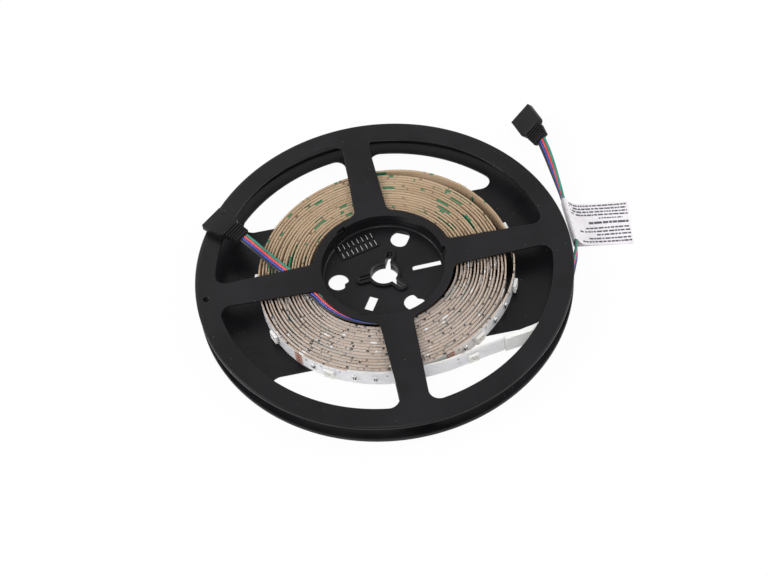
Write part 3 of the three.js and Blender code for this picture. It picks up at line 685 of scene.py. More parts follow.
def housing_mesh():
    """A shell with tapered shoulders, four sockets with near-black floors of painted shade, and a small rib
    on top.
    """
    start = RELIEF_LENGTH + SEAT_GAP
    face = start + SHELL_LENGTH
    half = SHELL_WIDTH / 2
    outline = [Vector(p) for p in (
        (-half + 2.2, start), (half - 2.2, start), (half - 0.5, start + 1.2), (half, start + 2.2),
        (half, face), (-half, face), (-half, start + 2.2), (-half + 0.5, start + 1.2))]
    body = plate([outline], -SHELL_HEIGHT / 2, SHELL_HEIGHT / 2, SHELL_EDGE)
    cutter = (SOCKET_WIDTH, 2 * SOCKET_DEPTH, SOCKET_WIDTH)
    body = carve(body, [block(cutter, (wire_x(i), face + 0.1, 0), 0) for i in range(4)])
    parts = [(body, 0)]
    # A near-black plate at each socket's floor: painted shade.
    floor = (SOCKET_WIDTH - 0.06, 0.1, SOCKET_WIDTH - 0.06)
    for i in range(4):
        parts.append((block(floor, (wire_x(i), face - SOCKET_DEPTH + 0.2, 0), 0), 1))
    parts.append((block((0.9, 3.4, 0.24), (half - 1.9, face - 3.4, SHELL_HEIGHT / 2 - 0.06), 0.05), 0))
    return parts


def relief_mesh():
    """A core with ribs that grow towards the housing."""
    parts = [(slab(rounded_box(7.4, 3, 1.2), 0, RELIEF_LENGTH + 0.2, 0.3), 0)]
    for i in range(RELIEF_RIBS):
        along = 0.3 + i * RIB_PITCH
        grow = 0.5 + 0.16 * i
        rib = rounded_box(7.6 + 2 * grow, 3 + 1.6 * grow, 1.1)
        parts.append((slab(rib, along, along + RIB_THICKNESS, 0.26), 0))
    return parts


def contact_mesh(i):
    """Two spring leaves on a small block at the socket's floor."""
    start = RELIEF_LENGTH + SEAT_GAP + SHELL_LENGTH - SOCKET_DEPTH + SEAT_GAP
    x = wire_x(i)
    leaf, foot = (CONTACT_WIDTH, 6.4, 0.22), (CONTACT_WIDTH, 1.2, CONTACT_WIDTH)
    leaves = [(block(leaf, (x, start + 3.2, side * 0.42), 0.05), 0) for side in (-1, 1)]
    return [*leaves, (block(foot, (x, start + 0.6, 0), 0.1), 0)]


def connector(name, route, axis, green):
    place = connector_frame(route, axis, green)
    made = []
    for part, parts, materials, slot in (
            ("strain_relief", relief_mesh(), (connector_plastic,), "connector"),
            ("housing", housing_mesh(), (connector_plastic, socket_floor_shade), "connector"),
            *((f"contact_{i + 1}", contact_mesh(i), (contact_brass,), "contact") for i in range(4))):
        one = piece(f"{name}_{part}_shape", parts, materials)
        one.matrix_world = place
        take_place(one, f"{name}_{part}")
        made.append(one)
    return made


inner_connector = connector("inner_connector", INNER_ROUTE, (-0.72, 0.69, 0), (0.7, 0.7, 0))
outer_connector = connector("outer_connector", OUTER_ROUTE, (-0.33, 0.944, -0.02), (0.7, 0.265, 0.663))


# Paper flag round the outer lead

FLAG_LENGTH, FLAG_WIDTH, FLAG_SHEET = 29.2, 25.6, 0.13
FLAG_SKEW, FLAG_TAPER = math.tan(math.radians(-7.1)), math.tan(math.radians(7.6))
FLAG_AT, FLAG_TURN = (91.6, 17.1, 0), 2.3
# The sheet's fold seen from its end, as (away from the lead, up): the top leaf, the wrap, the lower leaf
FLAG_SECTION = [(29.2, 0.66), (22, 0.64), (14, 0.66), (9, 0.74), (6.2, 1.05), (4.1, 1.9), (2.6, 3.3),
                (1.5, 4.9), (0.9, 6.0), (0.3, 6.55), (-0.3, 6.5), (-0.82, 6.0), (-1.0, 5.0), (-1.0, 3.2),
                (-0.98, 1.5), (-0.75, 0.7), (-0.2, 0.36), (2, 0.3), (8, 0.28), (16, 0.28), (29.2, 0.28)]
FLAG_STEPS, FLAG_ROWS = 110, 15
TOP_LEAF_STEPS, CURLED_STEPS = 62, 60
# Each row of bars: its place across the flag, where it starts and stops along it, and its height
BAR_ROWS = [(0.06, 0.2, 28.2, 1.0), (0.135, 0.3, 28.2, 1.0), (0.21, 0.2, 28.4, 1.0), (0.285, 0.4, 28.4, 1.0),
            (0.37, 14.5, 25.8, 0.8), (0.475, 9.4, 28.6, 1.5), (0.6, 7.4, 28.6, 1.0), (0.68, 3.8, 28.6, 1.0),
            (0.76, 12, 28.6, 1.0), (0.85, 7.8, 28.8, 1.0), (0.925, 4.4, 28.8, 1.0)]
TALL_ROW = 1.2


def askew(x, y, z):
    """A place on the flag, which was folded askew and widens towards one end."""
    return Vector((x * (1 + y * FLAG_TAPER / FLAG_LENGTH), y + x * FLAG_SKEW, z))


def flag_line():
    """Places along the fold, each with the way out of the paper."""
    line = [Vector((x, z, 0)) for x, z in FLAG_SECTION]
    spots = [through(line, i / FLAG_STEPS) for i in range(FLAG_STEPS + 1)]
    normals = []
    for i in range(FLAG_STEPS + 1):
        along = (spots[min(i + 1, FLAG_STEPS)] - spots[max(i - 1, 0)]).normalized()
        normals.append(Vector((-along.y, along.x, 0)))
    return spots, normals


flag_spots, flag_normals = flag_line()


def sheet_point(i, share, lift):
    """A place on the paper, which curls a little towards the loose end of its top leaf."""
    spot = flag_spots[i] - flag_normals[i] * lift
    loose = min(1, max(0, spot.x / 8)) * (1 if i < CURLED_STEPS else 0.35)
    curl = 0.12 * math.sin(share * 7 + spot.x * 0.21) * loose
    return askew(spot.x, (share - 0.5) * FLAG_WIDTH, max(spot.y + curl, 0.14))


def flag_sheet():
    points, faces = [], []
    for lift in (FLAG_SHEET / 2, -FLAG_SHEET / 2):
        points += [sheet_point(i, j / FLAG_ROWS, lift)
                   for i in range(FLAG_STEPS + 1) for j in range(FLAG_ROWS + 1)]
    step = FLAG_ROWS + 1
    layer = (FLAG_STEPS + 1) * step
    for i in range(FLAG_STEPS):
        for j in range(FLAG_ROWS):
            a = i * step + j
            faces.append((a, a + 1, a + step + 1, a + step))
            faces.append((layer + a, layer + a + step, layer + a + step + 1, layer + a + 1))
    for i in range(FLAG_STEPS):
        for j in (0, FLAG_ROWS):
            a, b = i * step + j, (i + 1) * step + j
            faces.append((a, b, layer + b, layer + a))
    for i in (0, FLAG_STEPS):
        for j in range(FLAG_ROWS):
            a = i * step + j
            faces.append((a, layer + a, layer + a + 1, a + 1))
    return new_mesh("flag_sheet", points, faces, 50)


def flag_bars():
    """Rows of short plain bars of uneven length on the top leaf."""
    chance = random.Random(7)
    points, faces = [], []
    top = [i for i in range(TOP_LEAF_STEPS) if flag_spots[i].x > 0.1]

    def top_height(x, share):
        i = min(top, key=lambda k: abs(flag_spots[k].x - x))
        return sheet_point(i, share, FLAG_SHEET / 2).z

    for share, start, stop, tall in BAR_ROWS:
        x = start
        while x < stop:
            bar_length = min(chance.uniform(0.7, 2.6) * (1.6 if tall > TALL_ROW else 1), stop - x)
            low = 1 - share - tall * 0.46 / FLAG_WIDTH
            high = 1 - share + tall * 0.46 / FLAG_WIDTH
            base = len(points)
            for px, ps in ((x, low), (x + bar_length, low), (x + bar_length, high), (x, high)):
                points.append(askew(px, (ps - 0.5) * FLAG_WIDTH, top_height(px, ps) + 0.03))
            faces.append((base, base + 1, base + 2, base + 3))
            x += bar_length + chance.uniform(0.25, 0.5)
    return new_mesh("flag_ink", points, faces)


flag = piece("label_flag_paper", [(flag_sheet(), 0), (flag_bars(), 1)], (flag_paper, flag_ink), 50)
flag.matrix_world = (Matrix.Translation(Vector(FLAG_AT) * MM)
                     @ Matrix.Rotation(math.radians(FLAG_TURN), 4, "Z"))
take_place(flag, "label_flag")


# Reel halves

REEL_RADIUS, REEL_HEIGHT, PLATE = 89.0, 12.6, 1.15
RIM_HEIGHT, RIM_WIDTH, RIM_ROUND = 2.4, 2.6, 0.8
CUP_RADIUS, CUP_WALL = 29.2, 0.9
LOWER_CUP = CUP_RADIUS + CUP_WALL + SEAT_GAP
WEB_TOP, WEB = 5.0, 1.3
WINDOW_OUTER, WINDOW_INNER = 79.3, 33.1
WINDOW_CORNER, WINDOW_ROOT_CORNER = 5.0, 4.0
FLANGE_INSET, FLANGE_SINK, FINE_SEGMENTS = 2.2, 0.03, 288
RIM_HOLE_RADIUS, RIM_HOLE_AT = 1.5, (84.2, 184.6)
SPOKE_ROOT, SPOKE_TIP, SPOKE_TURN = 15.6, 12.8, 4.3
BAND_HALF_WIDTH = 42.987
SNAP_ANGLES, SNAP_HALF_WIDTH, SNAP_LOW = (7, 127, 247), 2.3, 8.35
KEY_ANGLES, ARM_ANGLES = (70, 190, 310), (32, 152, 272)
BORE_RADIUS, KEY_WIDTH, KEY_REACH, BORE_RIM = 6.5, 2.6, 12.6, 1.5
WEB_HOLE_RADIUS, WEB_HOLE_CIRCLE = 4.8, 22
# Each hole through the web: its angle on the hub, then its lug's angle, spread and reach
WEB_HOLES = ((63, -28, 60, 1.0), (183, -32, 30, 1.4), (303, 52, 48, 1.8))
# Each slot through the web: where it starts and stops from the middle, its width and its angle
WEB_SLOTS = ((13.6, 27.4, 3, 5.5), (13.8, 21.8, 4.3, 243.6))
COMB_AT, COMB_TURN = (-11.0, 18.5, 0), 19
COMB_LENGTH, COMB_DEPTH, COMB_HEIGHT, COMB_RIBS, COMB_RIB = 20.2, 9.6, 0.5, 8, 0.75
EDGE = 0.24


def snap_opening():
    return math.degrees(math.asin(SNAP_HALF_WIDTH / CUP_RADIUS))


def span_after(i):
    """The next snap angle round the cup."""
    return SNAP_ANGLES[(i + 1) % len(SNAP_ANGLES)]


def spoke_side():
    """One side of a spoke with its rounded corners, for a spoke along x."""
    root = Vector((WINDOW_INNER, SPOKE_ROOT / 2))
    tip = Vector((WINDOW_OUTER, SPOKE_TIP / 2))
    along = (tip - root).normalized()
    away = Vector((-along.y, along.x))

    def round_at(corner, distance):
        """The middle of a corner's round, at a distance from the reel's middle."""
        start = root + away * corner
        half = start.dot(along)
        return start + along * (-half + math.sqrt(half * half - start.length_squared + distance * distance))

    inner = round_at(WINDOW_ROOT_CORNER, WINDOW_INNER + WINDOW_ROOT_CORNER)
    outer = round_at(WINDOW_CORNER, WINDOW_OUTER - WINDOW_CORNER)
    to_side = heading(away) + 180
    return [*arc(inner, WINDOW_ROOT_CORNER, heading(inner) + 180, to_side, 12),
            *arc(outer, WINDOW_CORNER, to_side, heading(outer), 14)]


def upper_window(index):
    """The opening between two spokes."""
    turn = SPOKE_TURN + 90 * index
    side = spoke_side()
    first = turned(side, turn)
    last = turned([Vector((p.x, -p.y)) for p in reversed(side)], turn + 90)
    outer = arc(ORIGIN, WINDOW_OUTER, heading(first[-1]), heading(last[0]), 48)[1:-1]
    inner = arc(ORIGIN, WINDOW_INNER, heading(last[-1]), heading(first[0]), 20, True)[1:-1]
    return [*first, *outer, *last, *inner]


def lower_window(mirror_x, mirror_y):
    """A D-shaped opening between the flange's rim and its broad middle band."""
    side = SPOKE_TIP / 2 + WINDOW_CORNER
    base = BAND_HALF_WIDTH + WINDOW_CORNER
    reach = WINDOW_OUTER - WINDOW_CORNER
    inner = Vector((side, base))
    far = Vector((math.sqrt(reach * reach - base * base), base))
    top = Vector((side, math.sqrt(reach * reach - side * side)))
    outline = [*arc(inner, WINDOW_CORNER, 180, 270, 12),
               *arc(far, WINDOW_CORNER, 270, heading(far), 14),
               *arc(ORIGIN, WINDOW_OUTER, heading(far), heading(top), 36)[1:-1],
               *arc(top, WINDOW_CORNER, heading(top), 180, 12)]
    placed = [Vector((p.x * mirror_x, p.y * mirror_y)) for p in outline]
    return turned(placed, SPOKE_TURN)


def rim_bead(inside, outside):
    """A round-edged bead with a shallow groove round its outer face."""
    step = math.copysign(1, outside - inside)
    inner = REEL_RADIUS - RIM_WIDTH
    groove = REEL_RADIUS - 0.22
    profile = [(inner, inside + step * 0.2), (inner + 0.2, inside), (REEL_RADIUS - 0.4, inside),
               (REEL_RADIUS, inside + step * 0.4), (REEL_RADIUS, outside - step * 1.25),
               (groove, outside - step * 1.15), (groove, outside - step * 0.95),
               (REEL_RADIUS, outside - step * RIM_ROUND)]
    for i in range(1, 6):
        angle = math.radians(90 * i / 5)
        radius = REEL_RADIUS - RIM_ROUND * (1 - math.cos(angle))
        profile.append((radius, outside - step * RIM_ROUND * (1 - math.sin(angle))))
    profile += [(inner + 0.2, outside), (inner, outside - step * 0.2)]
    return turned_ring(profile, count=FINE_SEGMENTS)


def keyed_outline(extra):
    """The bore's outline: a round with three keyways, each with a round end."""
    radius, width, reach = BORE_RADIUS + extra, KEY_WIDTH + 2 * extra, KEY_REACH + extra
    opening = math.degrees(math.asin(width / 2 / radius))
    outline = []
    for i, angle in enumerate(KEY_ANGLES):
        nose = arc(Vector((reach - width / 2, 0)), width / 2, 270, 90, 12)
        outline += turned(nose, angle)
        following = KEY_ANGLES[(i + 1) % len(KEY_ANGLES)]
        outline += arc(ORIGIN, radius, angle + opening, following - opening, 18)
    return outline


def web_hole(angle, lug_angle, lug_spread, lug_reach):
    """A hole through the web, with a rounded lug that stands into it from one side."""
    centre = polar(WEB_HOLE_CIRCLE, angle)
    outline = []
    for turn in range(0, 360, 6):
        aside = abs((turn - lug_angle + 180) % 360 - 180) / lug_spread
        lug = lug_reach * math.cos(math.pi / 2 * aside) ** 2 if aside < 1 else 0
        outline.append(centre + polar(WEB_HOLE_RADIUS - lug, turn))
    return outline


def cup_opening():
    """The cup's round opening in the flange, with its three snap notches."""
    half, opening = SNAP_HALF_WIDTH, snap_opening()
    out = CUP_RADIUS + CUP_WALL + 0.15
    outline = []
    for i, angle in enumerate(SNAP_ANGLES):
        outline += turned([Vector((CUP_RADIUS, -half)), Vector((out, -half)), Vector((out, half))], angle)
        outline += arc(ORIGIN, CUP_RADIUS, angle + opening, span_after(i) - opening, 40)
    return outline


def comb_bars():
    """A low frame on the web with two rows of ribs, each rib with a light grey strip along its top as a
    painted highlight.
    """
    place = (Matrix.Translation(Vector(COMB_AT) * MM)
             @ Matrix.Rotation(math.radians(COMB_TURN), 4, "Z"))
    long, deep, rib, tall = COMB_LENGTH, COMB_DEPTH, COMB_RIB, COMB_HEIGHT
    frame_outlines = [rounded_box(long, deep, 0.8), rounded_box(long - 2 * rib, deep - 2 * rib, 0.4)]
    bars = [(moved(plate(frame_outlines, WEB_TOP - 0.3, WEB_TOP + tall, 0.1), place), 0)]
    pitch = (long - rib) / COMB_RIBS
    for row in (-1, 1):
        for i in range(COMB_RIBS):
            x, y = pitch * (i + 0.5 - COMB_RIBS / 2), row * deep / 4
            body = block((rib, deep * 0.36, tall + 0.3), (x, y, WEB_TOP + (tall - 0.3) / 2), 0.16)
            # A thin light grey strip on the rib's top: a painted highlight.
            bright = block((rib * 0.48, deep * 0.31, 0.03), (x, y, WEB_TOP + tall), 0.01)
            bars += [(moved(body, place), 0), (moved(bright, place), 1)]
    return bars


def upper_half():
    """The spoked flange with its rim, the cup wall with its snap notches, and the web at its foot."""
    rim_hole = circle(RIM_HOLE_RADIUS, 32, polar(*RIM_HOLE_AT))
    windows = [upper_window(i) for i in range(4)]
    flange = plate([circle(REEL_RADIUS - FLANGE_INSET, FINE_SEGMENTS), cup_opening(), *windows, rim_hole],
                   REEL_HEIGHT - PLATE, REEL_HEIGHT - FLANGE_SINK, EDGE)
    web_low = WEB_TOP - WEB
    wall = ring_profile(CUP_RADIUS, CUP_RADIUS + CUP_WALL, web_low, SNAP_LOW, 0.1)
    tall_wall = ring_profile(CUP_RADIUS, CUP_RADIUS + CUP_WALL, SNAP_LOW - 0.2, REEL_HEIGHT - 0.06, 0.25)
    opening = snap_opening()
    parts = [flange, rim_bead(REEL_HEIGHT - RIM_HEIGHT, REEL_HEIGHT), turned_ring(wall, count=160)]
    for i, angle in enumerate(SNAP_ANGLES):
        span = (span_after(i) - angle) % 360 - 2 * opening
        parts.append(turned_ring(tall_wall, angle + opening, span, 52))
    holes = [web_hole(*hole) for hole in WEB_HOLES]
    slots = [bar(*slot) for slot in WEB_SLOTS]
    web_outlines = [circle(CUP_RADIUS + 0.4, 160), keyed_outline(0.3), *holes, *slots]
    parts.append(plate(web_outlines, web_low, WEB_TOP, 0.14))
    parts.append(plate([keyed_outline(BORE_RIM), keyed_outline(0)], web_low + 0.02, WEB_TOP + 1.3, 0.3))
    # A low fillet where the cup wall meets the web, as steps out from the wall and up from the web
    fillet = ((-0.9, -0.1), (0.3, -0.1), (0.3, 0.9), (-0.02, 0.85), (-0.28, 0.3), (-0.8, 0.04))
    parts.append(turned_ring([(CUP_RADIUS + out, WEB_TOP + up) for out, up in fillet], count=160))
    return [*((mesh, 0) for mesh in parts), *comb_bars()]


def lower_half():
    """The flange with its rim, the outer cup wall, the keyed tube on three arms, and the snap lugs."""
    windows = [lower_window(x, y) for x, y in ((1, 1), (-1, 1), (-1, -1), (1, -1))]
    outlines = [circle(REEL_RADIUS - FLANGE_INSET, FINE_SEGMENTS), circle(LOWER_CUP - 2, 120), *windows]
    flange = plate(outlines, FLANGE_SINK, PLATE, EDGE)
    top = REEL_HEIGHT - PLATE - SEAT_GAP
    parts = [flange, rim_bead(RIM_HEIGHT, 0),
             turned_ring(ring_profile(LOWER_CUP, LOWER_CUP + CUP_WALL, 0.06, top, 0.2), count=160),
             plate([keyed_outline(BORE_RIM), keyed_outline(0)], 0.02, WEB_TOP - WEB - SEAT_GAP, 0.25)]
    for angle in ARM_ANGLES:
        parts.append(plate([bar(7.4, LOWER_CUP - 1, 6, angle)], 0.01, PLATE - 0.01, 0.15))
    for angle in SNAP_ANGLES:
        parts.append(plate([bar(CUP_RADIUS + SEAT_GAP, LOWER_CUP + 0.6, 4, angle)], top - 2.2, top, 0.2))
    return [(mesh, 0) for mesh in parts]


for half_name, parts in (("upper", upper_half()), ("lower", lower_half())):
    half = piece(f"{half_name}_half_moulding", parts, (reel_plastic, painted_glint_plastic))
    take_place(half, f"reel_{half_name}_half")


# The wound strip

STRIP_HEIGHT, STRIP_THICK, STRIP_BASE = 8.95, 1.1, 1.35
STRIP_MID = STRIP_BASE + STRIP_HEIGHT / 2
TURNS, TURN_PITCH, STRIP_START = 15.99, 1.65, 285.0
START_RADIUS = LOWER_CUP + CUP_WALL + 2.75 + STRIP_THICK / 2
STEPS_PER_TURN, TAIL_STEPS = 96, 60
TAIL = [(21, -56.6), (29.8, -54.3), (38.6, -51.7), (49.3, -49)]
FAR_CLOSING = 2.7
NEAR_ANGLE, NEAR_SPREAD, NEAR_CLOSING, NEAR_GROWTH = 281, 48, 1.5, 0.4
LOOSE_ANGLE, LOOSE_SPREAD, LOOSE_STAND = 31, 60, 3.2
SLACK_THINNING, TAIL_SLACK, WAVE_HEIGHT, EDGE_WAVE = 0.42, 0.3, 0.28, 0.07
# The strip's cross-section in halves of its thickness and its height, from the foot of the board's face
STRIP_SECTION = [(1, -1), (1, 1), (0.72, 1.0), (0.1, 1.0), (-0.72, 1.0),
                 (-1, 0.985), (-1, -0.985), (-0.72, -1.0), (0.72, -1.0)]
# The places of the strip's materials in its list
# The ink slot serves the printed marks, and also the painted shade by the hidden LEDs' legs.
BOARD, FAR_EDGE, BACKING, COPPER, INK_AND_GAP_SHADE, NEAR_EDGE, TAIL_EDGE = range(7)
FLAT_SIDES = {0: BOARD, 5: BACKING}


def winding_radius(turns):
    """The winding lies closer on the far side and the near side, and its last turn stands loose."""
    angle = STRIP_START + 360 * turns
    share = turns / TURNS
    far = FAR_CLOSING * share * (1 + math.sin(math.radians(angle))) / 2
    aside = (angle - NEAR_ANGLE + 180) % 360 - 180
    near = (NEAR_CLOSING + NEAR_GROWTH * share) * math.exp(-((aside / NEAR_SPREAD) ** 4))
    from_loose = angle - (STRIP_START + 360 * math.floor(TURNS - 0.5)) - (360 + LOOSE_ANGLE - STRIP_START)
    loose = LOOSE_STAND * math.exp(-((from_loose / LOOSE_SPREAD) ** 4))
    return START_RADIUS + TURN_PITCH * turns - far - near + loose


def wound_place(turns):
    return polar(winding_radius(turns), STRIP_START + 360 * turns)


def strip_path():
    """The winding's places, then the tail's, and how many of them are wound."""
    steps = round(TURNS * STEPS_PER_TURN)
    points = [wound_place(TURNS * i / steps) for i in range(steps + 1)]
    wound = len(points)
    joint = [Vector((*p, 0)) for p in (*(wound_place(TURNS - back / 36) for back in (2, 1, 0)), *TAIL)]
    share = 2 / (len(joint) - 1)
    for i in range(1, TAIL_STEPS + 1):
        at = through(joint, share + (1 - share) * i / TAIL_STEPS)
        points.append(Vector((at.x, at.y)))
    return points, wound


strip_points, wound_count = strip_path()
run = [0.0]
for before, after in zip(strip_points, strip_points[1:]):
    run.append(run[-1] + (after - before).length)


def strip_along(i):
    return (strip_points[min(i + 1, len(strip_points) - 1)] - strip_points[max(i - 1, 0)]).normalized()


wave_chance = random.Random(3)
WAVES = [(wave_chance.uniform(0.8, 1.2), wave_chance.uniform(0, 6.28)) for _ in range(18)]


def slack_at(angle):
    """The turns lie closer near and far than at the two sides."""
    return abs(math.cos(angle)) ** 2


def unevenness(turn, angle):
    """How far a turn stands out of its even place: most at the two sides, where the roll is slack."""
    lift, phase = WAVES[int(turn)]
    return WAVE_HEIGHT * slack_at(angle) * math.sin(2.6 * lift * angle + phase)


def turn_and_angle(i):
    """The turns wound before a station and its angle; the tail keeps those of the last wound one."""
    turn = min(i, wound_count - 1) / STEPS_PER_TURN
    return turn, math.radians(STRIP_START) + turn * math.tau


def strip_mesh():
    """The band with its board face outwards, its backing inwards, and a slightly rounded cut edge."""
    half = STRIP_HEIGHT / 2
    points, kinds, place = [], [], []
    for i, spot in enumerate(strip_points):
        along = strip_along(i)
        out = Vector((along.y, -along.x, 0))
        wound = i < wound_count
        turn, angle = turn_and_angle(i)
        slack = slack_at(angle) if wound else TAIL_SLACK
        thick = STRIP_THICK / 2 * (1.0 - SLACK_THINNING * slack)
        last_turn = wound and turn > TURNS - 1.1
        aside = unevenness(turn, angle) if wound and not last_turn else 0
        lift, phase = WAVES[int(turn)]
        rise = EDGE_WAVE * math.sin(angle * 2.0 * lift + phase) - EDGE_WAVE
        for a, b in STRIP_SECTION:
            z = STRIP_MID + b * half + (rise if b > 0 else 0)
            points.append((spot.x + out.x * (a * thick + aside), spot.y + out.y * (a * thick + aside), z))
            place.append((run[i] * MM, z * MM))
    sides = len(STRIP_SECTION)
    for i in range(len(strip_points) - 1):
        angle = turn_and_angle(i)[1]
        is_far = math.sin(angle - math.radians(4)) > 0
        edge = TAIL_EDGE if i >= wound_count - 10 else FAR_EDGE if is_far else NEAR_EDGE
        kinds += [FLAT_SIDES.get(j, edge) for j in range(sides)]
    kinds += [FAR_EDGE, FAR_EDGE]
    mesh = bpy.data.meshes.new("strip_band")
    mesh.from_pydata([Vector(p) * MM for p in points], [], band_faces(len(strip_points), sides))
    layer = mesh.uv_layers.new(name="strip_run")
    for loop in mesh.loops:
        layer.data[loop.index].uv = place[loop.vertex_index]
    for face, kind in zip(mesh.polygons, kinds):
        face.material_index = kind
    return mesh


def on_strip(length, stand):
    """A place on the strip's outer face: x along, y up, z away from the strip."""
    i = next(k for k, value in enumerate(run) if value >= length)
    share = (length - run[i - 1]) / (run[i] - run[i - 1])
    spot = strip_points[i - 1].lerp(strip_points[i], share)
    along = (strip_points[i] - strip_points[i - 1]).normalized()
    out = Vector((along.y, -along.x, 0))
    at = Vector((*spot, STRIP_MID)) + out * (STRIP_THICK / 2 + stand)
    turn = Matrix((Vector((*along, 0)), Vector((0, 0, 1)), out)).transposed().to_4x4()
    return Matrix.Translation(at * MM) @ turn


def length_at(degrees):
    """The length along the strip at an angle of its last turn."""
    back = ((STRIP_START + 360 * TURNS - degrees) / 360) % 1
    index = wound_count - 1 - back * STEPS_PER_TURN
    low = int(index)
    return run[low] + (index - low) * (run[low + 1] - run[low])


LED_PITCH, LED_ANGLE = 33.3, 207.6
led_zero = length_at(LED_ANGLE)
cut_zero = led_zero + LED_PITCH / 2
exposed_from = led_zero - 8.5 * LED_PITCH
PLAIN_END = 8
PAD_WIDTH, PAD_HEIGHT, PAD_PITCH, PAD_ASIDE = 1.9, 1.3, 2.0, 1.15
# The plain marks after each cut line: how far along the strip, and how tall
MARKS = ((4.6, 0.5), (12.5, 0.4), (21.5, 0.4), (43, 0.5), (57, 0.4), (76, 0.4))


def cut_line(segment):
    """The length along the strip of a cut line, one to every three LEDs."""
    return cut_zero + segment * 3 * LED_PITCH


def laid(mesh, length, stand, kind):
    """A mesh laid on the strip at a length along it, with its material."""
    return moved(mesh, on_strip(length, stand)), kind


def patch(width, height, y=0):
    """A thin flat patch for the strip's outer face."""
    return block((width, height, 0.05), (0, y, 0.02), 0)


def printed_details():
    """Copper pads at the cut lines and plain marks, laid on the visible turn and the tail."""
    parts = []
    for segment in range(-3, 2):
        cut = cut_line(segment)
        if not exposed_from - 1 < cut < run[-1] - PLAIN_END:
            continue
        for side in (-1, 1):
            for row in range(4):
                pad = patch(PAD_WIDTH, PAD_HEIGHT, (row - 1.5) * PAD_PITCH)
                parts.append(laid(pad, cut + side * PAD_ASIDE, -0.02, COPPER))
        parts.append(laid(patch(0.14, STRIP_HEIGHT - 0.4), cut, 0, INK_AND_GAP_SHADE))
        for offset, tall in MARKS:
            if cut + offset < run[-1] - PLAIN_END:
                for row in range(2):
                    parts.append(laid(patch(0.9, tall * 0.5, 2.6 - row * 0.8), cut + offset, 0, INK_AND_GAP_SHADE))
    return parts


def hidden_leds():
    """What shows of the LEDs between the turns: their white sides, and small black blocks by their legs that
    are painted shade.
    """
    parts = []
    length = led_zero - 9 * LED_PITCH
    while length > 4:
        parts.append(laid(block((4.9, 4.9, 0.62), (0, 0, 0.1), 0.1), length, -0.1, BOARD))
        for leg in range(-1, 3):
            # A small black block by the legs: painted shade.
            leg_gap_shade = block((0.75, 0.3, 0.12), (0, 4.05, 0), 0)
            parts.append(laid(leg_gap_shade, length + (leg - 0.5) * 1.5, 0.03, INK_AND_GAP_SHADE))
        length -= LED_PITCH
    return parts


band = piece("strip_band", [strip_mesh(), *printed_details(), *hidden_leds()],
             (board_white, far_edge, backing_paper, copper_pad, chip_black, near_edge, tail_edge))
take_place(band, "led_strip_roll")


# LEDs and resistors

LED_SIDE, LED_TALL, RESIN_RADIUS = 5, 1.45, 2.0
LEG_ASIDE, LEG_PITCH = 2.35, 1.65
CHIP_STAND = 0.12
RESISTOR_OFFSETS = (8.3, 28.3, 37.8)


def led_mesh():
    """A white body, resin in its round recess with three dies on it, six legs and two small marks."""
    body = carve(block((LED_SIDE, LED_SIDE, LED_TALL), (0, 0, 0.78), 0.14),
                 [plate([circle(RESIN_RADIUS, 48)], 1.2, 2.2, 0.02)])
    parts = [(body, 0), (plate([circle(RESIN_RADIUS - 0.02, 48)], 1.0, 1.26, 0.02), 1)]
    for x, y in ((-0.75, 0.55), (0.75, 0.55), (0, -0.75)):
        parts.append((block((0.42, 0.42, 0.1), (x, y, 1.29), 0.03), 2))
    for side in (-1, 1):
        for row in (-1, 0, 1):
            y = row * LEG_PITCH
            parts.append((block((0.45, 0.95, 0.7), (side * LEG_ASIDE, y, 0.36), 0.08), 3))
            parts.append((block((0.7, 1.15, 0.14), (side * (LEG_ASIDE + 0.27), y, 0.02), 0.05), 3))
    for x in (-1.9, -1.1):
        parts.append((block((0.42, 0.42, 0.06), (x, 2.0, 1.5), 0.02), 2))
    return parts


def resistor_mesh():
    """A dark body with a tinned cap and a solder foot at each end, and a white bar on top."""
    parts = [(block((1.5, 2.1, 0.52), (0, 0, 0.28), 0.08), 0)]
    for side in (-1, 1):
        parts.append((block((1.56, 0.55, 0.56), (0, side * 1.26, 0.29), 0.1), 1))
        parts.append((block((1.9, 0.5, 0.1), (0, side * 1.5, 0.0), 0.04), 1))
    parts.append((block((0.5, 0.9, 0.03), (0, 0, 0.55), 0), 2))
    return parts


def template_of(name, parts, materials):
    """The finished mesh of a piece, for copies that share it."""
    made = piece(name, parts, materials)
    mesh = made.data
    bpy.data.objects.remove(made)
    return mesh


def copies(kind, template, lengths):
    """Chips of one kind, numbered along the strip."""
    for i, length in enumerate(lengths):
        name = f"{kind}_{i + 1}"
        one = bpy.data.objects.new(f"{name}_chip", template)
        scene.collection.objects.link(one)
        one.matrix_world = on_strip(length, CHIP_STAND)
        take_place(one, name)


led_shape = template_of("led_shape", led_mesh(), (led_body, led_resin, led_die, tinned_metal))
copies("led", led_shape, [led_zero + i * LED_PITCH for i in range(-8, 4)])

resistor_shape = template_of("resistor_shape", resistor_mesh(), (chip_black, tinned_metal, board_white))
resistor_lengths = [cut_line(segment) + offset for segment in range(-3, 2) for offset in RESISTOR_OFFSETS]
copies("resistor", resistor_shape,
       [length for length in resistor_lengths if exposed_from < length < run[-1] - 7.1])


# Heat-shrink sleeves over the soldered joints

SLEEVE_STEPS, INNER_SLEEVE_LENGTH = 40, 11
# The sleeve's cross-section in halves of its thickness and its height
SLEEVE_SECTION = [(0.86, 1), (0, 1.0), (-0.86, 1), (-1, 0.5), (-0.97, 0), (-1, -0.5),
                  (-0.86, -1), (0, -1.0), (0.86, -1), (1, -0.5), (0.97, 0), (1, 0.5)]


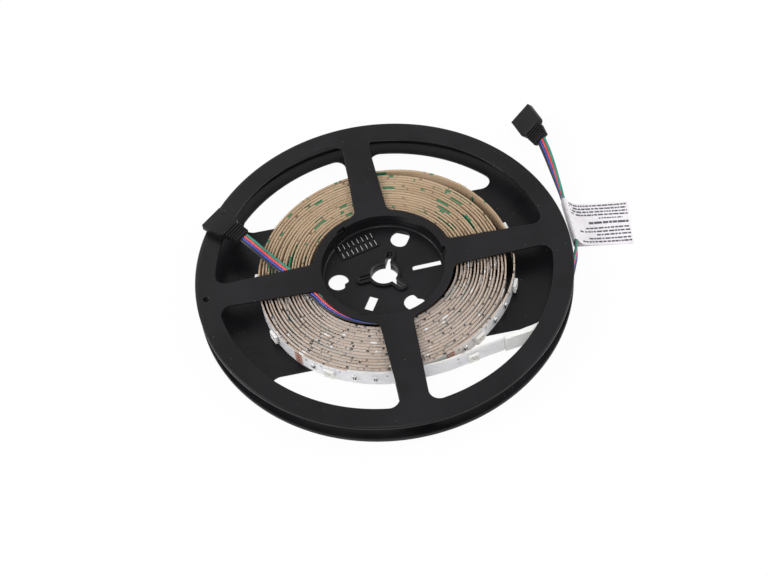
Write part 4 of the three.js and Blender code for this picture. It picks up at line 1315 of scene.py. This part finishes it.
def sleeve(name, line, node_name, across, up, middle):
    """A tube that clings to what is in it, with little waists."""
    spots = [Vector((*p, 0)) for p in line]
    stations = []
    for i in range(SLEEVE_STEPS + 1):
        share = i / SLEEVE_STEPS
        at = through(spots, share)
        along = direction(spots, share, 0.01)
        out = Vector((along.y, -along.x, 0))
        cling = 0.94 + 0.04 * math.cos(share * math.tau * 2) + 0.02 * math.sin(share * 31)
        at = Vector((at.x, at.y, middle))
        stations.append((at, out * across * cling, Vector((0, 0, 1)) * up * (0.97 + 0.03 * cling)))
    section = [(a, b * (0.995 if abs(a) < 0.5 else 0.98)) for a, b in SLEEVE_SECTION]
    made = piece(name, [(new_mesh(name, *sweep(stations, section)), 0)], (sleeve_white,), 60)
    take_place(made, node_name)


sleeve_radius = winding_radius(0) - 0.5
sleeve_turn = math.degrees(INNER_SLEEVE_LENGTH / sleeve_radius)
sleeve_end = STRIP_START - math.degrees(SEAT_GAP / sleeve_radius)
sleeve("inner_joint_tube", [polar(sleeve_radius, sleeve_end - sleeve_turn * (1 - s)) for s in (0, 0.5, 1)],
       "inner_joint_sleeve", 1.05, STRIP_HEIGHT / 2 + 0.1, STRIP_MID + 0.1)
tube_start = strip_points[-1] + strip_along(len(strip_points) - 1) * SEAT_GAP
tube_way = [Vector((57.6, -47.2)), Vector((66.4, -44.5))]
lead_start = Vector(OUTER_ROUTE[0][0][:2])
tube_stop = lead_start - (lead_start - tube_way[-1]).normalized() * SEAT_GAP
sleeve("outer_joint_tube", [tube_start, *tube_way, tube_stop], "outer_joint_sleeve",
       1.6, STRIP_HEIGHT / 2 + 0.4, STRIP_MID + 0.45)


# Floor, backdrop and light

FLOOR_REACH = 6000
# Each lamp: its place, how wide it is, and its power
LAMPS = (("left_softbox", (-0.9, 0.0, 0.7), 0.35, 4.8),
         ("right_softbox", (0.8, 0.1, 0.7), 0.4, 2.9),
         ("front_fill", (-0.1, -0.8, 0.9), 0.4, 4.0),
         ("back_softbox", (-0.5, 0.9, 0.75), 0.35, 1.6))


def seen_directly(tree):
    """One where the camera, a reflection or a clear thing looks at the backdrop, and nought for its light."""
    light_path = node(tree, "LightPath").outputs
    seen = worked_out(tree, "MAXIMUM", light_path["Is Camera Ray"], light_path["Is Glossy Ray"])
    return worked_out(tree, "MAXIMUM", seen, light_path["Is Transmission Ray"])


def pale_when_seen(tree, shader_output, share):
    """Shows a surface as white to the camera and in reflections, and keeps some of its own shade."""
    seen = seen_directly(tree)
    glow = node(tree, "Emission")
    glow.inputs["Color"].default_value = (1, 1, 1, 1)
    blend = node(tree, "MixShader")
    wire(tree, worked_out(tree, "MULTIPLY", seen, share), blend.inputs[0])
    wire(tree, shader_output, blend.inputs[1])
    wire(tree, glow.outputs[0], blend.inputs[2])
    return blend.outputs[0]


def floor_and_backdrop():
    corners = [(x * FLOOR_REACH, y * FLOOR_REACH, 0) for x, y in ((-1, -1), (1, -1), (1, 1), (-1, 1))]
    mesh = new_mesh("studio_floor", corners, [(0, 1, 2, 3)])
    floor = bpy.data.objects.new("studio_floor", mesh)
    scene.collection.objects.link(floor)
    material, tree, shader = start_material(
        "studio_white", Base_Color=(0.9, 0.9, 0.9, 1), Roughness=0.9, Specular_IOR_Level=0.1)
    wire(tree, pale_when_seen(tree, shader.outputs[0], 0.95), tree.nodes["Material Output"].inputs["Surface"])
    mesh.materials.append(material)


def studio_light():
    world = bpy.data.worlds.new("studio_air")
    scene.world = world
    world.use_nodes = True
    tree = world.node_tree
    tree.nodes.clear()
    soft = node(tree, "Background")
    soft.inputs["Color"].default_value = (1, 1, 1, 1)
    # Bright near the horizon and darker overhead
    sky = node(tree, "TexCoord")
    height = node(tree, "SeparateXYZ")
    wire(tree, sky.outputs["Generated"], height.inputs[0])
    wire(tree, ramp_between(tree, height.outputs["Z"], 0.15, 0.75, 1.1, 0.3), soft.inputs["Strength"])
    white = node(tree, "Background")
    white.inputs["Color"].default_value = (1, 1, 1, 1)
    white.inputs["Strength"].default_value = 1.0
    blend = node(tree, "MixShader")
    wire(tree, seen_directly(tree), blend.inputs[0])
    wire(tree, soft.outputs[0], blend.inputs[1])
    wire(tree, white.outputs[0], blend.inputs[2])
    output = node(tree, "OutputWorld")
    wire(tree, blend.outputs[0], output.inputs[0])
    for name, spot, size, power in LAMPS:
        lamp = bpy.data.lights.new(name, "AREA")
        lamp.size = size
        lamp.energy = power
        holder = bpy.data.objects.new(name, lamp)
        scene.collection.objects.link(holder)
        holder.location = spot
        holder.rotation_euler = (Vector(spot)).to_track_quat("Z", "Y").to_euler()


floor_and_backdrop()
studio_light()
